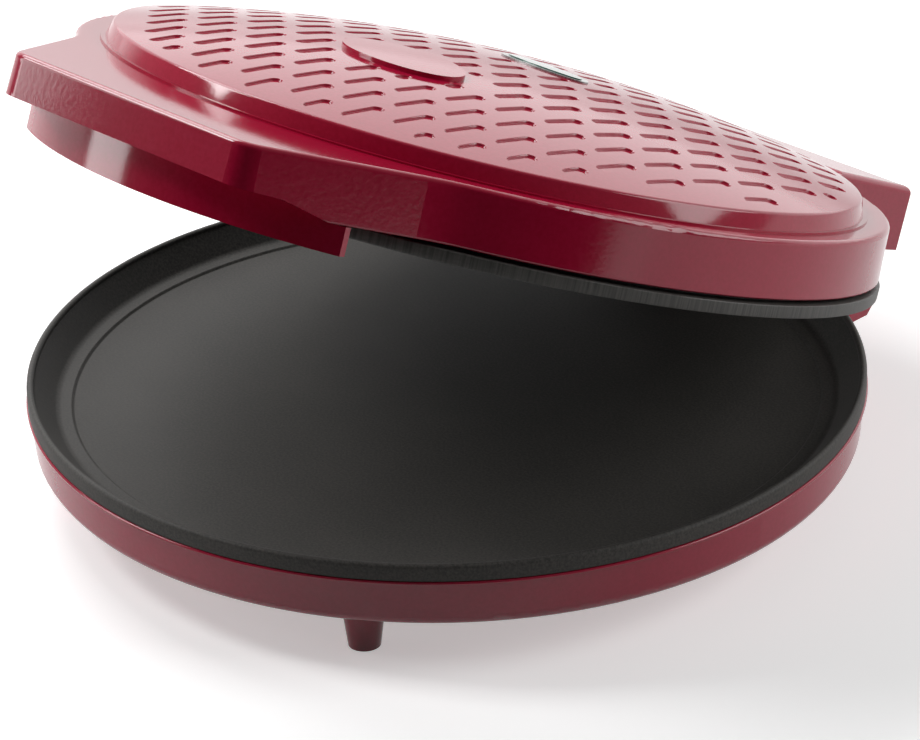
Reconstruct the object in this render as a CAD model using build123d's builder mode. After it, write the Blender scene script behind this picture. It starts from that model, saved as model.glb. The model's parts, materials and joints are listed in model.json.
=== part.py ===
from build123d import *
from math import asin, cos, degrees, radians, sin, sqrt, tan
import os

# A countertop pizza maker: a round heated pan in a low casing, and a hinged lid
# with a second heated plate, a wide front handle and a domed top.
# +Z is up, the handle is at -Y and the hinge at +Y. Everything is drawn about the middle of the pan.
# The lid's pieces are drawn with the lid closed and turned open about the hinge when they are kept.
# At the end all pieces move so that the origin lies on the table under the middle of the whole machine.

os.makedirs("parts", exist_ok=True)

# General clearances
seat_gap = 0.3
fit_gap = 0.2
pin_gap = 0.05

# Pan
pan_radius = 165.0
rim_height = 47.0
rim_wall = 6.7
rim_width = 3.0
pan_depth = 11.0
pan_slope_width = 8.5
pan_slope_wall = 3.0
pan_slope_round = 4.0
pan_thickness = 5.0
hearth_border = 6.5
hearth_step = 1.0

# Casing
casing_inset = 0.5
casing_draft = 1.3
casing_wall = 2.5
casing_side = 15.0
casing_round = 5.0
casing_slope_drop = 6.0
casing_floor_margin = 10.0
pillar_radius = 5.5
cover_margin = 14.0
cover_thickness = 1.2
cover_ledge = 6.5
cover_screw_radius = 1.5
cover_screw_head_radius = 2.8
cover_screw_length = 5.5
vent_inset = 32.0
vent_count = 12
vent_length = 24.0
vent_width = 2.4
label_length = 52.0
label_width = 28.0
label_round = 1.2
label_thickness = 0.4

# Feet
foot_outset = 15.5
foot_angle = 32.0
foot_top_radius = 9.0
foot_bottom_radius = 6.2
pad_radius = 4.8
pad_thickness = 2.4
pad_stand = 0.8

# Hinge
hinge_reach = 22.0
hinge_drop = 3.5
lid_rest_angle = 21.0
hinge_pin_radius = 3.0
hinge_pin_head = 4.6
hinge_pin_head_length = 1.8
hinge_pin_end = 1.0
hinge_eye_radius = 7.0
ear_offset = 45.0
ear_thickness = 8.0
arm_thickness = 3.0
arm_foot_width = 11.0
arm_foot_length = 10.0
arm_foot_sheet = 2.0
arm_inset = 20.5
arm_front_height = 9.0
arm_top_drop = 4.5
arm_top_reach = 14.0
arm_back_reach = 4.5
washer_thickness = 0.45
washer_radius = 6.4

# Housing at the back of the casing
housing_half_width = 61.0
housing_overhang = 3.0
housing_length = 48.0
housing_lift = 0.5
housing_drop = 7.5
housing_bevel = 5.0
window_half_width = 20.0
window_height = 9.0
gland_radius = 5.0
gland_bore = 3.5
gland_flange = 7.0
gland_flange_thickness = 1.6
block_length = 28.0
block_depth = 14.0
block_height = 9.0
lead_radius = 1.2
lead_bend = 12.0
lead_turn = 3.8
lead_reach = 8.0
lead_climb = 20.0
lead_inset = 6.5

# Lid
lid_inset = 2.5
lid_gap = 1.6
lid_wall_height = 22.5
lid_draft_angle = 2.5
lid_wall = 2.5
lid_edge_round = 2.0
lid_lip_round = 0.8
lid_margin = 10.0
step_height = 0.7
step_width = 2.0
bevel_width = 2.0
bevel_height = 6.2
dome_rise = 16.9
panel_seat = 2.0
post_inset = 8.5
post_radius = 4.2
post_screw_depth = 8.0

# Handle and finger guard
handle_reach = 32.5
handle_half_width = 62.5
handle_flare = 30.0
handle_corner = 12.0
handle_blend = 60.0
underside_margin = 0.5
underside_knee_inset = 16.0
underside_knee_rise = 5.3
underside_front_rise = 6.5
guard_sheet = 2.0
guard_wall = 2.2
guard_margin = 5.3
guard_inset = 11.5
guard_half_width = 84.0
guard_sagitta = 25.5
guard_overlap = 4.0
guard_post_x = 72.0
guard_post_inset = 43.0

# Hinge cover at the back of the lid
tail_half_width = 66.0
tail_overhang = 8.0
tail_inset = 17.5
tail_outset = 1.5
tail_drop = 4.0
tail_top_drop = 2.1
tail_top_fall = 4.6
tail_round = 3.0

# Upper plate and what it hangs from
upper_plate_inset = 1.5
upper_plate_gap = 0.4
upper_plate_wall = 5.0
upper_rim_width = 6.0
upper_recess = 2.0
upper_body_gap = 3.0
frame_thickness = 2.0
frame_gap = 0.5
frame_lap = 2.0
boss_inset = 12.0
plate_boss_radius = 4.5
plate_boss_start = 90.0
plate_screw_length = 12.0

# Heaters
element_inset = 23.0
element_tube_radius = 3.25
element_bend_radius = 9.75
element_gap_angle = 24.0
element_end_length = 12.0
reflector_inset = 8.0
reflector_sheet = 0.6
reflector_depth = 9.0
reflector_flange = 12.0
clamp_width = 8.0
clamp_sheet = 1.0
clamp_foot = 10.0
clamp_start = 30.0
thermostat_radius = 9.0
thermostat_height = 6.5
thermostat_x = 30.0
fuse_radius = 2.5
fuse_length = 16.0

# Fasteners
screw_radius = 2.0
screw_head_radius = 3.6
screw_head_height = 2.2
screw_sink = 0.5

# Plates on the dome
name_plate_half_length = 28.5
name_plate_half_width = 17.0
name_plate_centre = -55.0
name_plate_thickness = 1.8
badge_half_length = 22.0
badge_half_width = 9.0
badge_centre = 27.0
badge_border = 3.0
badge_thickness = 0.6
badge_inlay_thickness = 0.4

# Radii worked out from the pan inwards
casing_radius = pan_radius - casing_inset
casing_lower_radius = casing_radius - casing_draft
casing_corner_radius = casing_lower_radius - casing_round
pan_slope_foot = pan_radius - rim_width - pan_slope_width
hearth_radius = pan_slope_foot - hearth_border
lid_radius = pan_radius - lid_inset
upper_plate_radius = pan_radius - upper_plate_inset
upper_body_radius = lid_radius - lid_wall - upper_body_gap
frame_radius = lid_radius - lid_wall - frame_gap
step_radius = lid_radius - lid_margin
bevel_foot_radius = step_radius - step_width
panel_radius = bevel_foot_radius - bevel_width
panel_opening = panel_radius - panel_seat
post_circle = panel_opening - post_inset
reflector_radius = post_circle - reflector_inset
frame_inner_radius = reflector_radius + frame_lap
plate_boss_circle = reflector_radius - boss_inset
element_ring_radius = plate_boss_circle - element_inset
casing_slope_inner = plate_boss_circle + casing_floor_margin
foot_circle = casing_slope_inner + foot_outset
cover_radius = plate_boss_circle - cover_margin
cover_recess = cover_radius + fit_gap
ledge_radius = cover_radius - cover_ledge
cover_screw_circle = cover_radius - cover_ledge / 2
vent_circle = cover_radius - vent_inset

# Levels of the base
flange_bottom = rim_height - rim_wall
casing_top = flange_bottom - seat_gap
casing_edge = casing_top - casing_side
casing_low = casing_edge - casing_round
casing_floor = casing_low - casing_slope_drop
casing_inside = casing_floor + casing_wall
cover_seat = casing_floor + cover_thickness
pan_floor = rim_height - pan_depth
hearth_level = pan_floor - hearth_step
pan_bottom = pan_floor - pan_thickness
reflector_floor = pan_bottom - reflector_depth
lower_boss_end = reflector_floor + reflector_sheet + fit_gap
lower_element_level = pan_bottom - seat_gap - element_tube_radius
hinge_z = rim_height - hinge_drop
housing_bottom = casing_low - housing_lift
housing_top = hinge_z - housing_drop
gland_level = (housing_bottom + housing_top) / 2

# Levels of the lid, when closed
upper_plate_low = rim_height + upper_plate_gap
upper_wall_top = upper_plate_low + upper_plate_wall
lid_bottom = upper_wall_top + lid_gap
lid_flange = lid_bottom + lid_wall_height
panel_foot = lid_flange + step_height
panel_edge = panel_foot + bevel_height
dome_radius = (panel_radius**2 + dome_rise**2) / (2 * dome_rise)
dome_centre = panel_edge + dome_rise - dome_radius
upper_body_top = lid_bottom - fit_gap
frame_low = upper_body_top + screw_head_height + 2 * fit_gap
frame_top = frame_low + frame_thickness
post_end = frame_top + reflector_sheet + fit_gap
upper_reflector_top = frame_top + reflector_depth
upper_boss_end = upper_reflector_top - reflector_sheet - fit_gap
upper_element_level = upper_body_top + seat_gap + element_tube_radius
tail_bottom = lid_bottom - tail_drop
tail_top_front = panel_edge - tail_top_drop
tail_top_back = tail_top_front - tail_top_fall
guard_bottom = rim_height - guard_overlap
arm_top = lid_flange - arm_top_drop

# Distances to the front and to the back
hinge_y = pan_radius + hinge_reach
housing_back = hinge_y + housing_overhang
housing_front = housing_back - housing_length
tail_back = hinge_y + tail_overhang
tail_front = lid_radius - tail_inset
tail_start = lid_radius + tail_outset
arm_offset = ear_offset - ear_thickness / 2 - washer_thickness - fit_gap - arm_thickness / 2
arm_front = lid_radius - arm_inset
arm_top_start = hinge_y - arm_top_reach
arm_back = hinge_y + arm_back_reach
handle_front = lid_radius + handle_reach
underside_start = lid_radius + underside_margin
underside_knee = handle_front - underside_knee_inset
guard_front = handle_front - guard_inset
guard_post_y = handle_front - guard_post_inset
guard_arc_radius = (guard_half_width**2 + guard_sagitta**2) / (2 * guard_sagitta)
hinge_line = Axis((0, hinge_y, hinge_z), (-1, 0, 0))
finished = {}

# The handle's sides flare out along a line and blend into the round lid with an arc that touches both
flare_way = (sin(radians(handle_flare)), cos(radians(handle_flare)))
flare_reach = handle_front * flare_way[1] - handle_half_width * flare_way[0]
flare_middle = handle_half_width * flare_way[1] + handle_front * flare_way[0]
blend_along = sqrt((lid_radius + handle_blend) ** 2 - (flare_middle + handle_blend) ** 2)
blend_depth = (flare_middle + handle_blend) * flare_way[0] + blend_along * flare_way[1]
guard_back = blend_depth * lid_radius / (lid_radius + handle_blend) + guard_margin


def keep(piece, name):
    """Keep a finished piece of the base under its name."""
    finished[name] = piece.part


def keep_open(piece, name):
    """Turn a finished piece of the lid open about the hinge and keep it under its name."""
    finished[name] = piece.part.rotate(hinge_line, lid_rest_angle)


def around(count, radius, start):
    """Points spaced evenly on a circle, from the start angle."""
    angles = [radians(start + 360 / count * i) for i in range(count)]
    return [(radius * cos(a), radius * sin(a)) for a in angles]


def screw(point, head_level, length, way=1, radius=screw_radius, head_radius=screw_head_radius):
    """A screw whose head starts at head_level, with its shank beyond it in direction way."""
    with BuildPart() as piece:
        with BuildSketch(Plane.XY.offset(head_level)):
            with Locations(point):
                Circle(head_radius)
        extrude(amount=way * screw_head_height)
        with BuildSketch(Plane.XY.offset(head_level + way * screw_head_height)):
            with Locations(point):
                Circle(radius)
        extrude(amount=way * length)
    return piece


def heater(level):
    """A bent tubular element whose middle line lies at one level, with both ends turned inwards."""
    half_gap = element_gap_angle / 2
    with BuildPart() as piece:
        with BuildLine(Plane.XY.offset(level)) as path:
            ring = CenterArc((0, 0), element_ring_radius, 90 + half_gap, 360 - element_gap_angle)
            last = JernArc(ring @ 1, ring % 1, element_bend_radius, 90 + half_gap)
            first = JernArc(ring @ 0, (ring % 0) * -1, element_bend_radius, -90 - half_gap)
            Line(last @ 1, (last @ 1) - Vector(0, element_end_length, 0))
            Line(first @ 1, (first @ 1) - Vector(0, element_end_length, 0))
        route = path.wire()
        with BuildSketch(Plane(origin=route @ 0, z_dir=route % 0)):
            Circle(element_tube_radius)
        sweep(path=route)
    return piece


def clamp(angle, tube_level, plate_level):
    """A strap round the element, with a foot on each side against the plate."""
    side = 1 if plate_level > tube_level else -1
    inner = element_tube_radius + fit_gap
    outer = inner + clamp_sheet
    reach = abs(plate_level - tube_level)
    way = (cos(radians(angle)), sin(radians(angle)))
    across = Plane(
        origin=(element_ring_radius * way[0], element_ring_radius * way[1], tube_level),
        x_dir=(way[0], way[1], 0),
        z_dir=(way[1], -way[0], 0),
    )
    with BuildPart() as piece:
        with BuildSketch(across):
            with Locations((0, side * (reach - outer) / 2)):
                Rectangle(2 * outer, reach + outer)
            with Locations((0, side * (reach - clamp_sheet / 2))):
                Rectangle(2 * outer + clamp_foot, clamp_sheet)
            with Locations((0, side * (reach - inner) / 2)):
                Rectangle(2 * inner, reach + inner, mode=Mode.SUBTRACT)
        extrude(amount=clamp_width / 2, both=True)
    return piece


def dome_edge(lift, reach):
    """An arc that follows the lid's dome at a height above it, from a radius to the middle."""
    spread = degrees(asin(reach / (dome_radius + lift)))
    return CenterArc((0, dome_centre), dome_radius + lift, 90 - spread, spread)


def under_dome(lift):
    """The body under the lid's dome, or under a surface that lies lift above it."""
    with BuildPart() as body:
        with BuildSketch(Plane.XZ):
            with BuildLine():
                top = dome_edge(lift, panel_radius)
                Polyline(top @ 1, (0, lid_bottom), (panel_radius, lid_bottom), top @ 0)
            make_face()
        revolve(axis=Axis.Z)
    return body


def dome_plate(half_length, half_width, centre, low, high):
    """An oval plate on the dome, between two surfaces that follow it."""
    with BuildPart() as piece:
        with BuildSketch(Plane.XY.offset(lid_flange)):
            with Locations((0, centre)):
                Ellipse(half_length, half_width)
        extrude(amount=bevel_height + dome_rise + step_height + high + lid_wall)
        add(under_dome(high).part, mode=Mode.INTERSECT)
        add(under_dome(low).part, mode=Mode.SUBTRACT)
    return piece


def lid_outline(inset=0.0):
    """The lid from above: a disc with a wide flared handle, drawn in by an inset."""
    with BuildSketch(Plane.XY, mode=Mode.PRIVATE) as outline:
        Circle(lid_radius)
        with BuildLine():
            Polyline(
                (-handle_half_width, -handle_front),
                (handle_half_width, -handle_front),
                (handle_half_width + flare_reach * flare_way[0], -handle_front + flare_reach * flare_way[1]),
                (-handle_half_width - flare_reach * flare_way[0], -handle_front + flare_reach * flare_way[1]),
                close=True,
            )
        make_face()
        corners = outline.vertices().sort_by(Axis.Y)
        fillet(corners[2:4], handle_blend)
        fillet(outline.vertices().sort_by(Axis.Y)[0:2], handle_corner)
        if inset > 0:
            offset(amount=-inset)
    return outline.sketch


# Casing: a low round tub with a drafted side, a rounded lower corner and a sloping underside.
# A housing at the back carries two hinge ears, and three pillars carry the pan.
pan_bosses = around(3, plate_boss_circle, plate_boss_start)
cover_screws = around(4, cover_screw_circle, 45)
with BuildPart() as housing:
    with BuildSketch(Plane.YZ):
        with BuildLine():
            Polyline(
                (housing_front, housing_bottom),
                (housing_back - housing_bevel, housing_bottom),
                (housing_back, housing_bottom + housing_bevel),
                (housing_back, housing_top - housing_bevel),
                (housing_back - housing_bevel, housing_top),
                (housing_front, housing_top),
                close=True,
            )
        make_face()
    extrude(amount=housing_half_width, both=True)
    with BuildSketch(Plane.YZ):
        with BuildLine():
            Polyline(
                (housing_front, housing_bottom + casing_wall),
                (housing_back - housing_bevel, housing_bottom + casing_wall),
                (housing_back - casing_wall, housing_bottom + housing_bevel),
                (housing_back - casing_wall, housing_top - housing_bevel),
                (housing_back - housing_bevel, housing_top - casing_wall),
                (housing_front, housing_top - casing_wall),
                close=True,
            )
        make_face()
    extrude(amount=housing_half_width - casing_wall, both=True, mode=Mode.SUBTRACT)
    with BuildSketch(Plane.XY):
        Circle(casing_lower_radius - casing_wall / 2)
    extrude(amount=rim_height, mode=Mode.SUBTRACT)

with BuildPart() as base_shell:
    with BuildSketch(Plane.XZ):
        with BuildLine():
            Polyline(
                (casing_corner_radius, casing_low),
                (casing_slope_inner, casing_floor),
                (cover_recess, casing_floor),
                (cover_recess, cover_seat),
                (ledge_radius, cover_seat),
                (ledge_radius, casing_inside),
                (casing_slope_inner, casing_inside),
                (casing_corner_radius, casing_low + casing_wall),
                (casing_lower_radius - casing_wall, casing_edge),
                (casing_radius - casing_wall, casing_top),
                (casing_radius, casing_top),
                (casing_lower_radius, casing_edge),
            )
            CenterArc((casing_corner_radius, casing_edge), casing_round, -90, 90)
        make_face()
    revolve(axis=Axis.Z)
    add(housing.part)
    with BuildSketch(Plane.XZ.offset(-casing_lower_radius)):
        with Locations((0, gland_level)):
            Rectangle(2 * window_half_width, window_height)
    extrude(amount=2 * casing_wall, both=True, mode=Mode.SUBTRACT)
    for side in (-1, 1):
        with BuildSketch(Plane.YZ.offset(side * ear_offset)):
            with BuildLine():
                Polyline(
                    (hinge_y - hinge_eye_radius, housing_top - casing_wall / 2),
                    (hinge_y, housing_top - casing_wall),
                    (hinge_y + hinge_eye_radius, hinge_z),
                    (hinge_y - hinge_eye_radius, hinge_z),
                    close=True,
                )
            make_face()
            with Locations((hinge_y, hinge_z)):
                Circle(hinge_eye_radius)
        extrude(amount=ear_thickness / 2, both=True)
    with BuildSketch(Plane.YZ):
        with Locations((hinge_y, hinge_z)):
            Circle(hinge_pin_radius + pin_gap)
    extrude(amount=housing_half_width, both=True, mode=Mode.SUBTRACT)
    with BuildSketch(Plane.XY.offset(casing_floor + cover_thickness)):
        with Locations(*pan_bosses):
            Circle(pillar_radius)
    extrude(amount=reflector_floor - fit_gap - casing_floor - cover_thickness)
    with BuildSketch(Plane.XY.offset(casing_floor)):
        with Locations(*pan_bosses):
            Circle(screw_head_radius + 2 * fit_gap)
    extrude(amount=screw_sink + screw_head_height, mode=Mode.SUBTRACT)
    with BuildSketch(Plane.XY.offset(casing_floor)):
        with Locations(*pan_bosses):
            Circle(screw_radius + fit_gap)
        with Locations(*cover_screws):
            Circle(cover_screw_radius + pin_gap)
    extrude(amount=reflector_depth, mode=Mode.SUBTRACT)
    with BuildSketch(Plane.XZ.offset(-housing_back)):
        with Locations((0, gland_level)):
            Circle(gland_radius + fit_gap)
    extrude(amount=casing_wall + fit_gap, both=True, mode=Mode.SUBTRACT)
keep(base_shell, "base_shell")

# Cover plate under the casing, its screws and the bare label on it
with BuildPart() as bottom_cover:
    with BuildSketch(Plane.XY.offset(casing_floor)):
        Circle(cover_radius)
        with Locations(*cover_screws):
            Circle(cover_screw_radius + fit_gap, mode=Mode.SUBTRACT)
        with PolarLocations(vent_circle, vent_count):
            SlotOverall(vent_length, vent_width, mode=Mode.SUBTRACT)
    extrude(amount=cover_thickness)
keep(bottom_cover, "bottom_cover")

with BuildPart() as rating_label:
    with BuildSketch(Plane.XY.offset(casing_floor - label_thickness)):
        RectangleRounded(label_length, label_width, label_round)
    extrude(amount=label_thickness)
keep(rating_label, "rating_label")

for number, point in enumerate(cover_screws, 1):
    cover_screw = screw(
        point,
        casing_floor - screw_head_height,
        cover_screw_length,
        radius=cover_screw_radius,
        head_radius=cover_screw_head_radius,
    )
    keep(cover_screw, f"cover_screw_{number}")

# Feet: tapered, cut to the sloping underside, each with a rubber pad
foot_x = foot_circle * sin(radians(foot_angle))
foot_y = foot_circle * cos(radians(foot_angle))
foot_points = [(foot_x, -foot_y), (-foot_x, -foot_y), (foot_x, foot_y), (-foot_x, foot_y)]
for number, point in enumerate(foot_points, 1):
    with BuildPart() as foot:
        with BuildSketch(Plane.XY.offset(pad_stand)):
            with Locations(point):
                Circle(foot_bottom_radius)
        with BuildSketch(Plane.XY.offset(casing_low + casing_wall)):
            with Locations(point):
                Circle(foot_top_radius)
        loft()
        with BuildSketch(Plane.XZ):
            with BuildLine():
                Polyline(
                    (casing_slope_inner, casing_floor),
                    (casing_corner_radius, casing_low),
                    (casing_corner_radius, rim_height),
                    (casing_slope_inner, rim_height),
                    close=True,
                )
            make_face()
        revolve(axis=Axis.Z, mode=Mode.SUBTRACT)
        with BuildSketch(Plane.XY.offset(pad_stand)):
            with Locations(point):
                Circle(pad_radius + fit_gap)
        extrude(amount=pad_thickness - pad_stand, mode=Mode.SUBTRACT)
    keep(foot, f"foot_{number}")
    with BuildPart() as foot_pad:
        with BuildSketch():
            with Locations(point):
                Circle(pad_radius)
        extrude(amount=pad_thickness)
    keep(foot_pad, f"foot_pad_{number}")

# Pan: a cast dish with an upright rim, a sloping wall, a flat floor and a slightly sunk hearth.
# Three bosses under it take the screws that hold it to the casing.
slope_rise = rim_height - rim_width / 2 - pan_floor
slope_run = pan_slope_width
slope_length = sqrt(slope_rise**2 + slope_run**2)
outer_foot = pan_slope_foot + pan_slope_wall * slope_length / slope_rise
flange_inner = outer_foot + (flange_bottom - pan_floor) * slope_run / slope_rise
pan_base_radius = outer_foot + (pan_bottom - pan_floor) * slope_run / slope_rise
with BuildPart() as lower_plate:
    with BuildSketch(Plane.XZ) as pan_profile:
        with BuildLine():
            Polyline(
                (0, hearth_level),
                (hearth_radius, hearth_level),
                (hearth_radius + hearth_step, pan_floor),
                (pan_slope_foot, pan_floor),
                (pan_radius - rim_width, rim_height - rim_width / 2),
            )
            CenterArc((pan_radius - rim_width / 2, rim_height - rim_width / 2), rim_width / 2, 0, 180)
            Polyline(
                (pan_radius, rim_height - rim_width / 2),
                (pan_radius, flange_bottom),
                (flange_inner, flange_bottom),
                (pan_base_radius, pan_bottom),
                (0, pan_bottom),
                (0, hearth_level),
            )
        make_face()
        fillet(pan_profile.vertices().sort_by_distance((pan_slope_foot, pan_floor))[0], pan_slope_round)
    revolve(axis=Axis.Z)
    with BuildSketch(Plane.XY.offset(lower_boss_end)):
        with Locations(*pan_bosses):
            Circle(plate_boss_radius)
    extrude(amount=pan_bottom - lower_boss_end + pan_thickness / 2)
    with BuildSketch(Plane.XY.offset(lower_boss_end)):
        with Locations(*pan_bosses):
            Circle(screw_radius + pin_gap)
    extrude(amount=plate_screw_length - fit_gap * 2, mode=Mode.SUBTRACT)
keep(lower_plate, "lower_plate")

for number, point in enumerate(pan_bosses, 1):
    pan_screw = screw(point, casing_floor + screw_sink, plate_screw_length)
    keep(pan_screw, f"pan_screw_{number}")

# Lower heater under the pan, its reflector and straps
end_circle = element_ring_radius - element_bend_radius
lead_x = end_circle * sin(radians(element_gap_angle / 2)) - element_bend_radius
lead_start_y = end_circle * cos(radians(element_gap_angle / 2)) - element_end_length
lead_drop_y = lead_start_y - lead_reach
lead_low = (casing_inside + reflector_floor) / 2
lead_climb_end = casing_lower_radius - casing_wall - lead_inset
block_front = housing_back - housing_bevel - seat_gap - block_depth
lower_element = heater(lower_element_level)
keep(lower_element, "lower_element")
for number, angle in enumerate((clamp_start, clamp_start + 120, clamp_start + 240), 1):
    keep(clamp(angle, lower_element_level, pan_bottom), f"lower_clamp_{number}")

with BuildPart() as lower_reflector:
    with BuildSketch(Plane.XY.offset(reflector_floor)):
        Circle(reflector_radius)
        with Locations(*pan_bosses):
            Circle(screw_radius + fit_gap * 2, mode=Mode.SUBTRACT)
        with Locations((-lead_x, lead_drop_y), (lead_x, lead_drop_y)):
            Circle(lead_radius + 2 * fit_gap, mode=Mode.SUBTRACT)
    extrude(amount=reflector_sheet)
    with BuildSketch(Plane.XY.offset(reflector_floor)):
        Circle(reflector_radius)
        Circle(reflector_radius - reflector_sheet, mode=Mode.SUBTRACT)
    extrude(amount=reflector_depth)
keep(lower_reflector, "lower_reflector")

# Leads from the heater, terminal block and cord inlet
for number, side in enumerate((-1, 1), 1):
    with BuildPart() as lead:
        with BuildLine() as route:
            FilletPolyline(
                (side * lead_x, lead_start_y, lower_element_level),
                (side * lead_x, lead_drop_y, lower_element_level),
                (side * lead_x, lead_drop_y, lead_low),
                (side * lead_x, lead_climb_end - lead_climb, lead_low),
                (side * lead_x, lead_climb_end, gland_level),
                (side * lead_x, block_front, gland_level),
                radius=[lead_turn, lead_turn, lead_bend, lead_bend],
            )
        with BuildSketch(Plane(origin=route.line @ 0, z_dir=route.line % 0)):
            Circle(lead_radius)
        sweep()
    keep(lead, f"lead_{number}")

with BuildPart() as terminal_block:
    with BuildSketch(Plane.XY.offset(housing_bottom + casing_wall)):
        with Locations((0, block_front + block_depth / 2)):
            Rectangle(block_length, block_depth)
    extrude(amount=block_height)
keep(terminal_block, "terminal_block")

with BuildPart() as cord_gland:
    with BuildSketch(Plane.XZ.offset(-housing_back - gland_flange_thickness)):
        with Locations((0, gland_level)):
            Circle(gland_flange)
            Circle(gland_bore, mode=Mode.SUBTRACT)
    extrude(amount=gland_flange_thickness)
    with BuildSketch(Plane.XZ.offset(-housing_back)):
        with Locations((0, gland_level)):
            Circle(gland_radius)
            Circle(gland_bore, mode=Mode.SUBTRACT)
    extrude(amount=casing_wall)
keep(cord_gland, "cord_gland")

# Thermostat and thermal fuse under the pan
with BuildPart() as thermostat:
    with BuildSketch(Plane.XY.offset(pan_bottom - thermostat_height)):
        with Locations((thermostat_x, 0)):
            Circle(thermostat_radius)
    extrude(amount=thermostat_height)
    with BuildSketch(Plane.XY.offset(pan_bottom - clamp_sheet)):
        with Locations((thermostat_x, 0)):
            SlotOverall(4 * thermostat_radius, thermostat_radius)
    extrude(amount=clamp_sheet)
keep(thermostat, "thermostat")

with BuildPart() as thermal_fuse:
    with BuildSketch(Plane.YZ.offset(-thermostat_x)):
        with Locations((0, pan_bottom - fuse_radius - seat_gap)):
            Circle(fuse_radius)
    extrude(amount=fuse_length / 2, both=True)
keep(thermal_fuse, "thermal_fuse")

# Hinge pins and friction washers
for side_name, side in (("left", -1), ("right", 1)):
    pin_start = arm_offset - arm_thickness / 2 - hinge_pin_end
    ear_face = ear_offset + ear_thickness / 2
    away = Plane.YZ if side > 0 else Plane(origin=(0, 0, 0), x_dir=(0, 1, 0), z_dir=(-1, 0, 0))
    pin_height = hinge_z * side
    with BuildPart() as hinge_pin:
        with BuildSketch(away.offset(pin_start)):
            with Locations((hinge_y, pin_height)):
                Circle(hinge_pin_radius)
        extrude(amount=ear_face - pin_start)
        with BuildSketch(away.offset(ear_face)):
            with Locations((hinge_y, pin_height)):
                Circle(hinge_pin_head)
        extrude(amount=hinge_pin_head_length)
    keep(hinge_pin, f"hinge_pin_{side_name}")
    with BuildPart() as washer:
        with BuildSketch(away.offset(ear_offset - ear_thickness / 2 - washer_thickness)):
            with Locations((hinge_y, pin_height)):
                Circle(washer_radius)
                Circle(hinge_pin_radius + pin_gap, mode=Mode.SUBTRACT)
        extrude(amount=washer_thickness)
    keep(washer, f"hinge_washer_{side_name}")

# Lid cover: a ring with a drafted side wall, a rounded edge and the handle, and a small step round
# the opening that the domed panel sits in. A hollow tail at the back covers the hinge.
tail_slope = (tail_top_front - tail_top_back) / (tail_back - tail_front)
with BuildPart() as tail:
    with BuildSketch(Plane.YZ):
        with BuildLine():
            Polyline(
                (tail_front, lid_bottom),
                (tail_start, lid_bottom),
                (tail_start + lid_bottom - tail_bottom, tail_bottom),
                (tail_back, tail_bottom),
                (tail_back, tail_top_back),
                (tail_front, tail_top_front),
                close=True,
            )
        make_face()
    extrude(amount=tail_half_width, both=True)
    fillet(tail.faces().sort_by(Axis.Z)[-1].edges(), tail_round)
with BuildPart() as tail_hollow:
    with BuildSketch(Plane.YZ):
        with BuildLine():
            Polyline(
                (tail_front - 2 * lid_wall, tail_bottom - lid_wall),
                (tail_back - lid_wall, tail_bottom - lid_wall),
                (tail_back - lid_wall, tail_top_back - lid_wall),
                (tail_front + lid_wall, tail_top_front - lid_wall * (1 + tail_slope)),
                (tail_front + lid_wall, lid_flange - lid_wall),
                (tail_front - 2 * lid_wall, lid_flange - lid_wall),
                close=True,
            )
        make_face()
    extrude(amount=tail_half_width - lid_wall, both=True)
lid_posts = around(4, post_circle, 45)
guard_posts = [(guard_post_x, -guard_post_y), (-guard_post_x, -guard_post_y)]
guard_post_end = lid_bottom + seat_gap + guard_sheet + fit_gap
post_under_dome = dome_centre + sqrt((dome_radius - lid_wall) ** 2 - (post_circle - post_radius) ** 2)
post_length = post_under_dome + lid_wall / 2 - post_end
with BuildPart() as lid_cover:
    with BuildSketch(Plane.XY.offset(lid_bottom)):
        add(lid_outline())
    extrude(amount=lid_wall_height, taper=lid_draft_angle)
    fillet(lid_cover.faces().sort_by(Axis.Z)[-1].edges(), lid_edge_round)
    fillet(lid_cover.faces().sort_by(Axis.Z)[0].edges(), lid_lip_round)
    with BuildSketch(Plane.YZ):
        with BuildLine():
            Polyline(
                (-underside_start, lid_bottom),
                (-underside_knee, lid_bottom + underside_knee_rise),
                (-handle_front, lid_bottom + underside_front_rise),
                (-handle_front, lid_bottom - lid_wall),
                (-underside_start, lid_bottom - lid_wall),
                close=True,
            )
        make_face()
    extrude(amount=lid_radius, both=True, mode=Mode.SUBTRACT)
    with BuildSketch(Plane.XY.offset(lid_flange)):
        Circle(step_radius)
    extrude(amount=step_height)
    add(tail.part)
    with BuildSketch(Plane.XY.offset(lid_bottom)):
        add(lid_outline(lid_wall))
    extrude(amount=lid_wall_height - lid_wall, taper=lid_draft_angle, mode=Mode.SUBTRACT)
    add(tail_hollow.part, mode=Mode.SUBTRACT)
    with BuildSketch(Plane.XY.offset(lid_flange - lid_wall)):
        Circle(panel_opening)
    extrude(amount=2 * tail_half_width, mode=Mode.SUBTRACT)
    with BuildSketch(Plane.XY.offset(lid_flange + step_height)):
        Circle(bevel_foot_radius + seat_gap)
    extrude(amount=2 * tail_half_width, mode=Mode.SUBTRACT)
    with BuildSketch(Plane.XY.offset(guard_post_end)):
        with Locations(*guard_posts):
            Circle(post_radius)
    extrude(amount=lid_flange - lid_wall / 2 - guard_post_end)
    with BuildSketch(Plane.XY.offset(guard_post_end)):
        with Locations(*guard_posts):
            Circle(screw_radius + pin_gap)
    extrude(amount=post_screw_depth, mode=Mode.SUBTRACT)
keep_open(lid_cover, "lid_cover")

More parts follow.
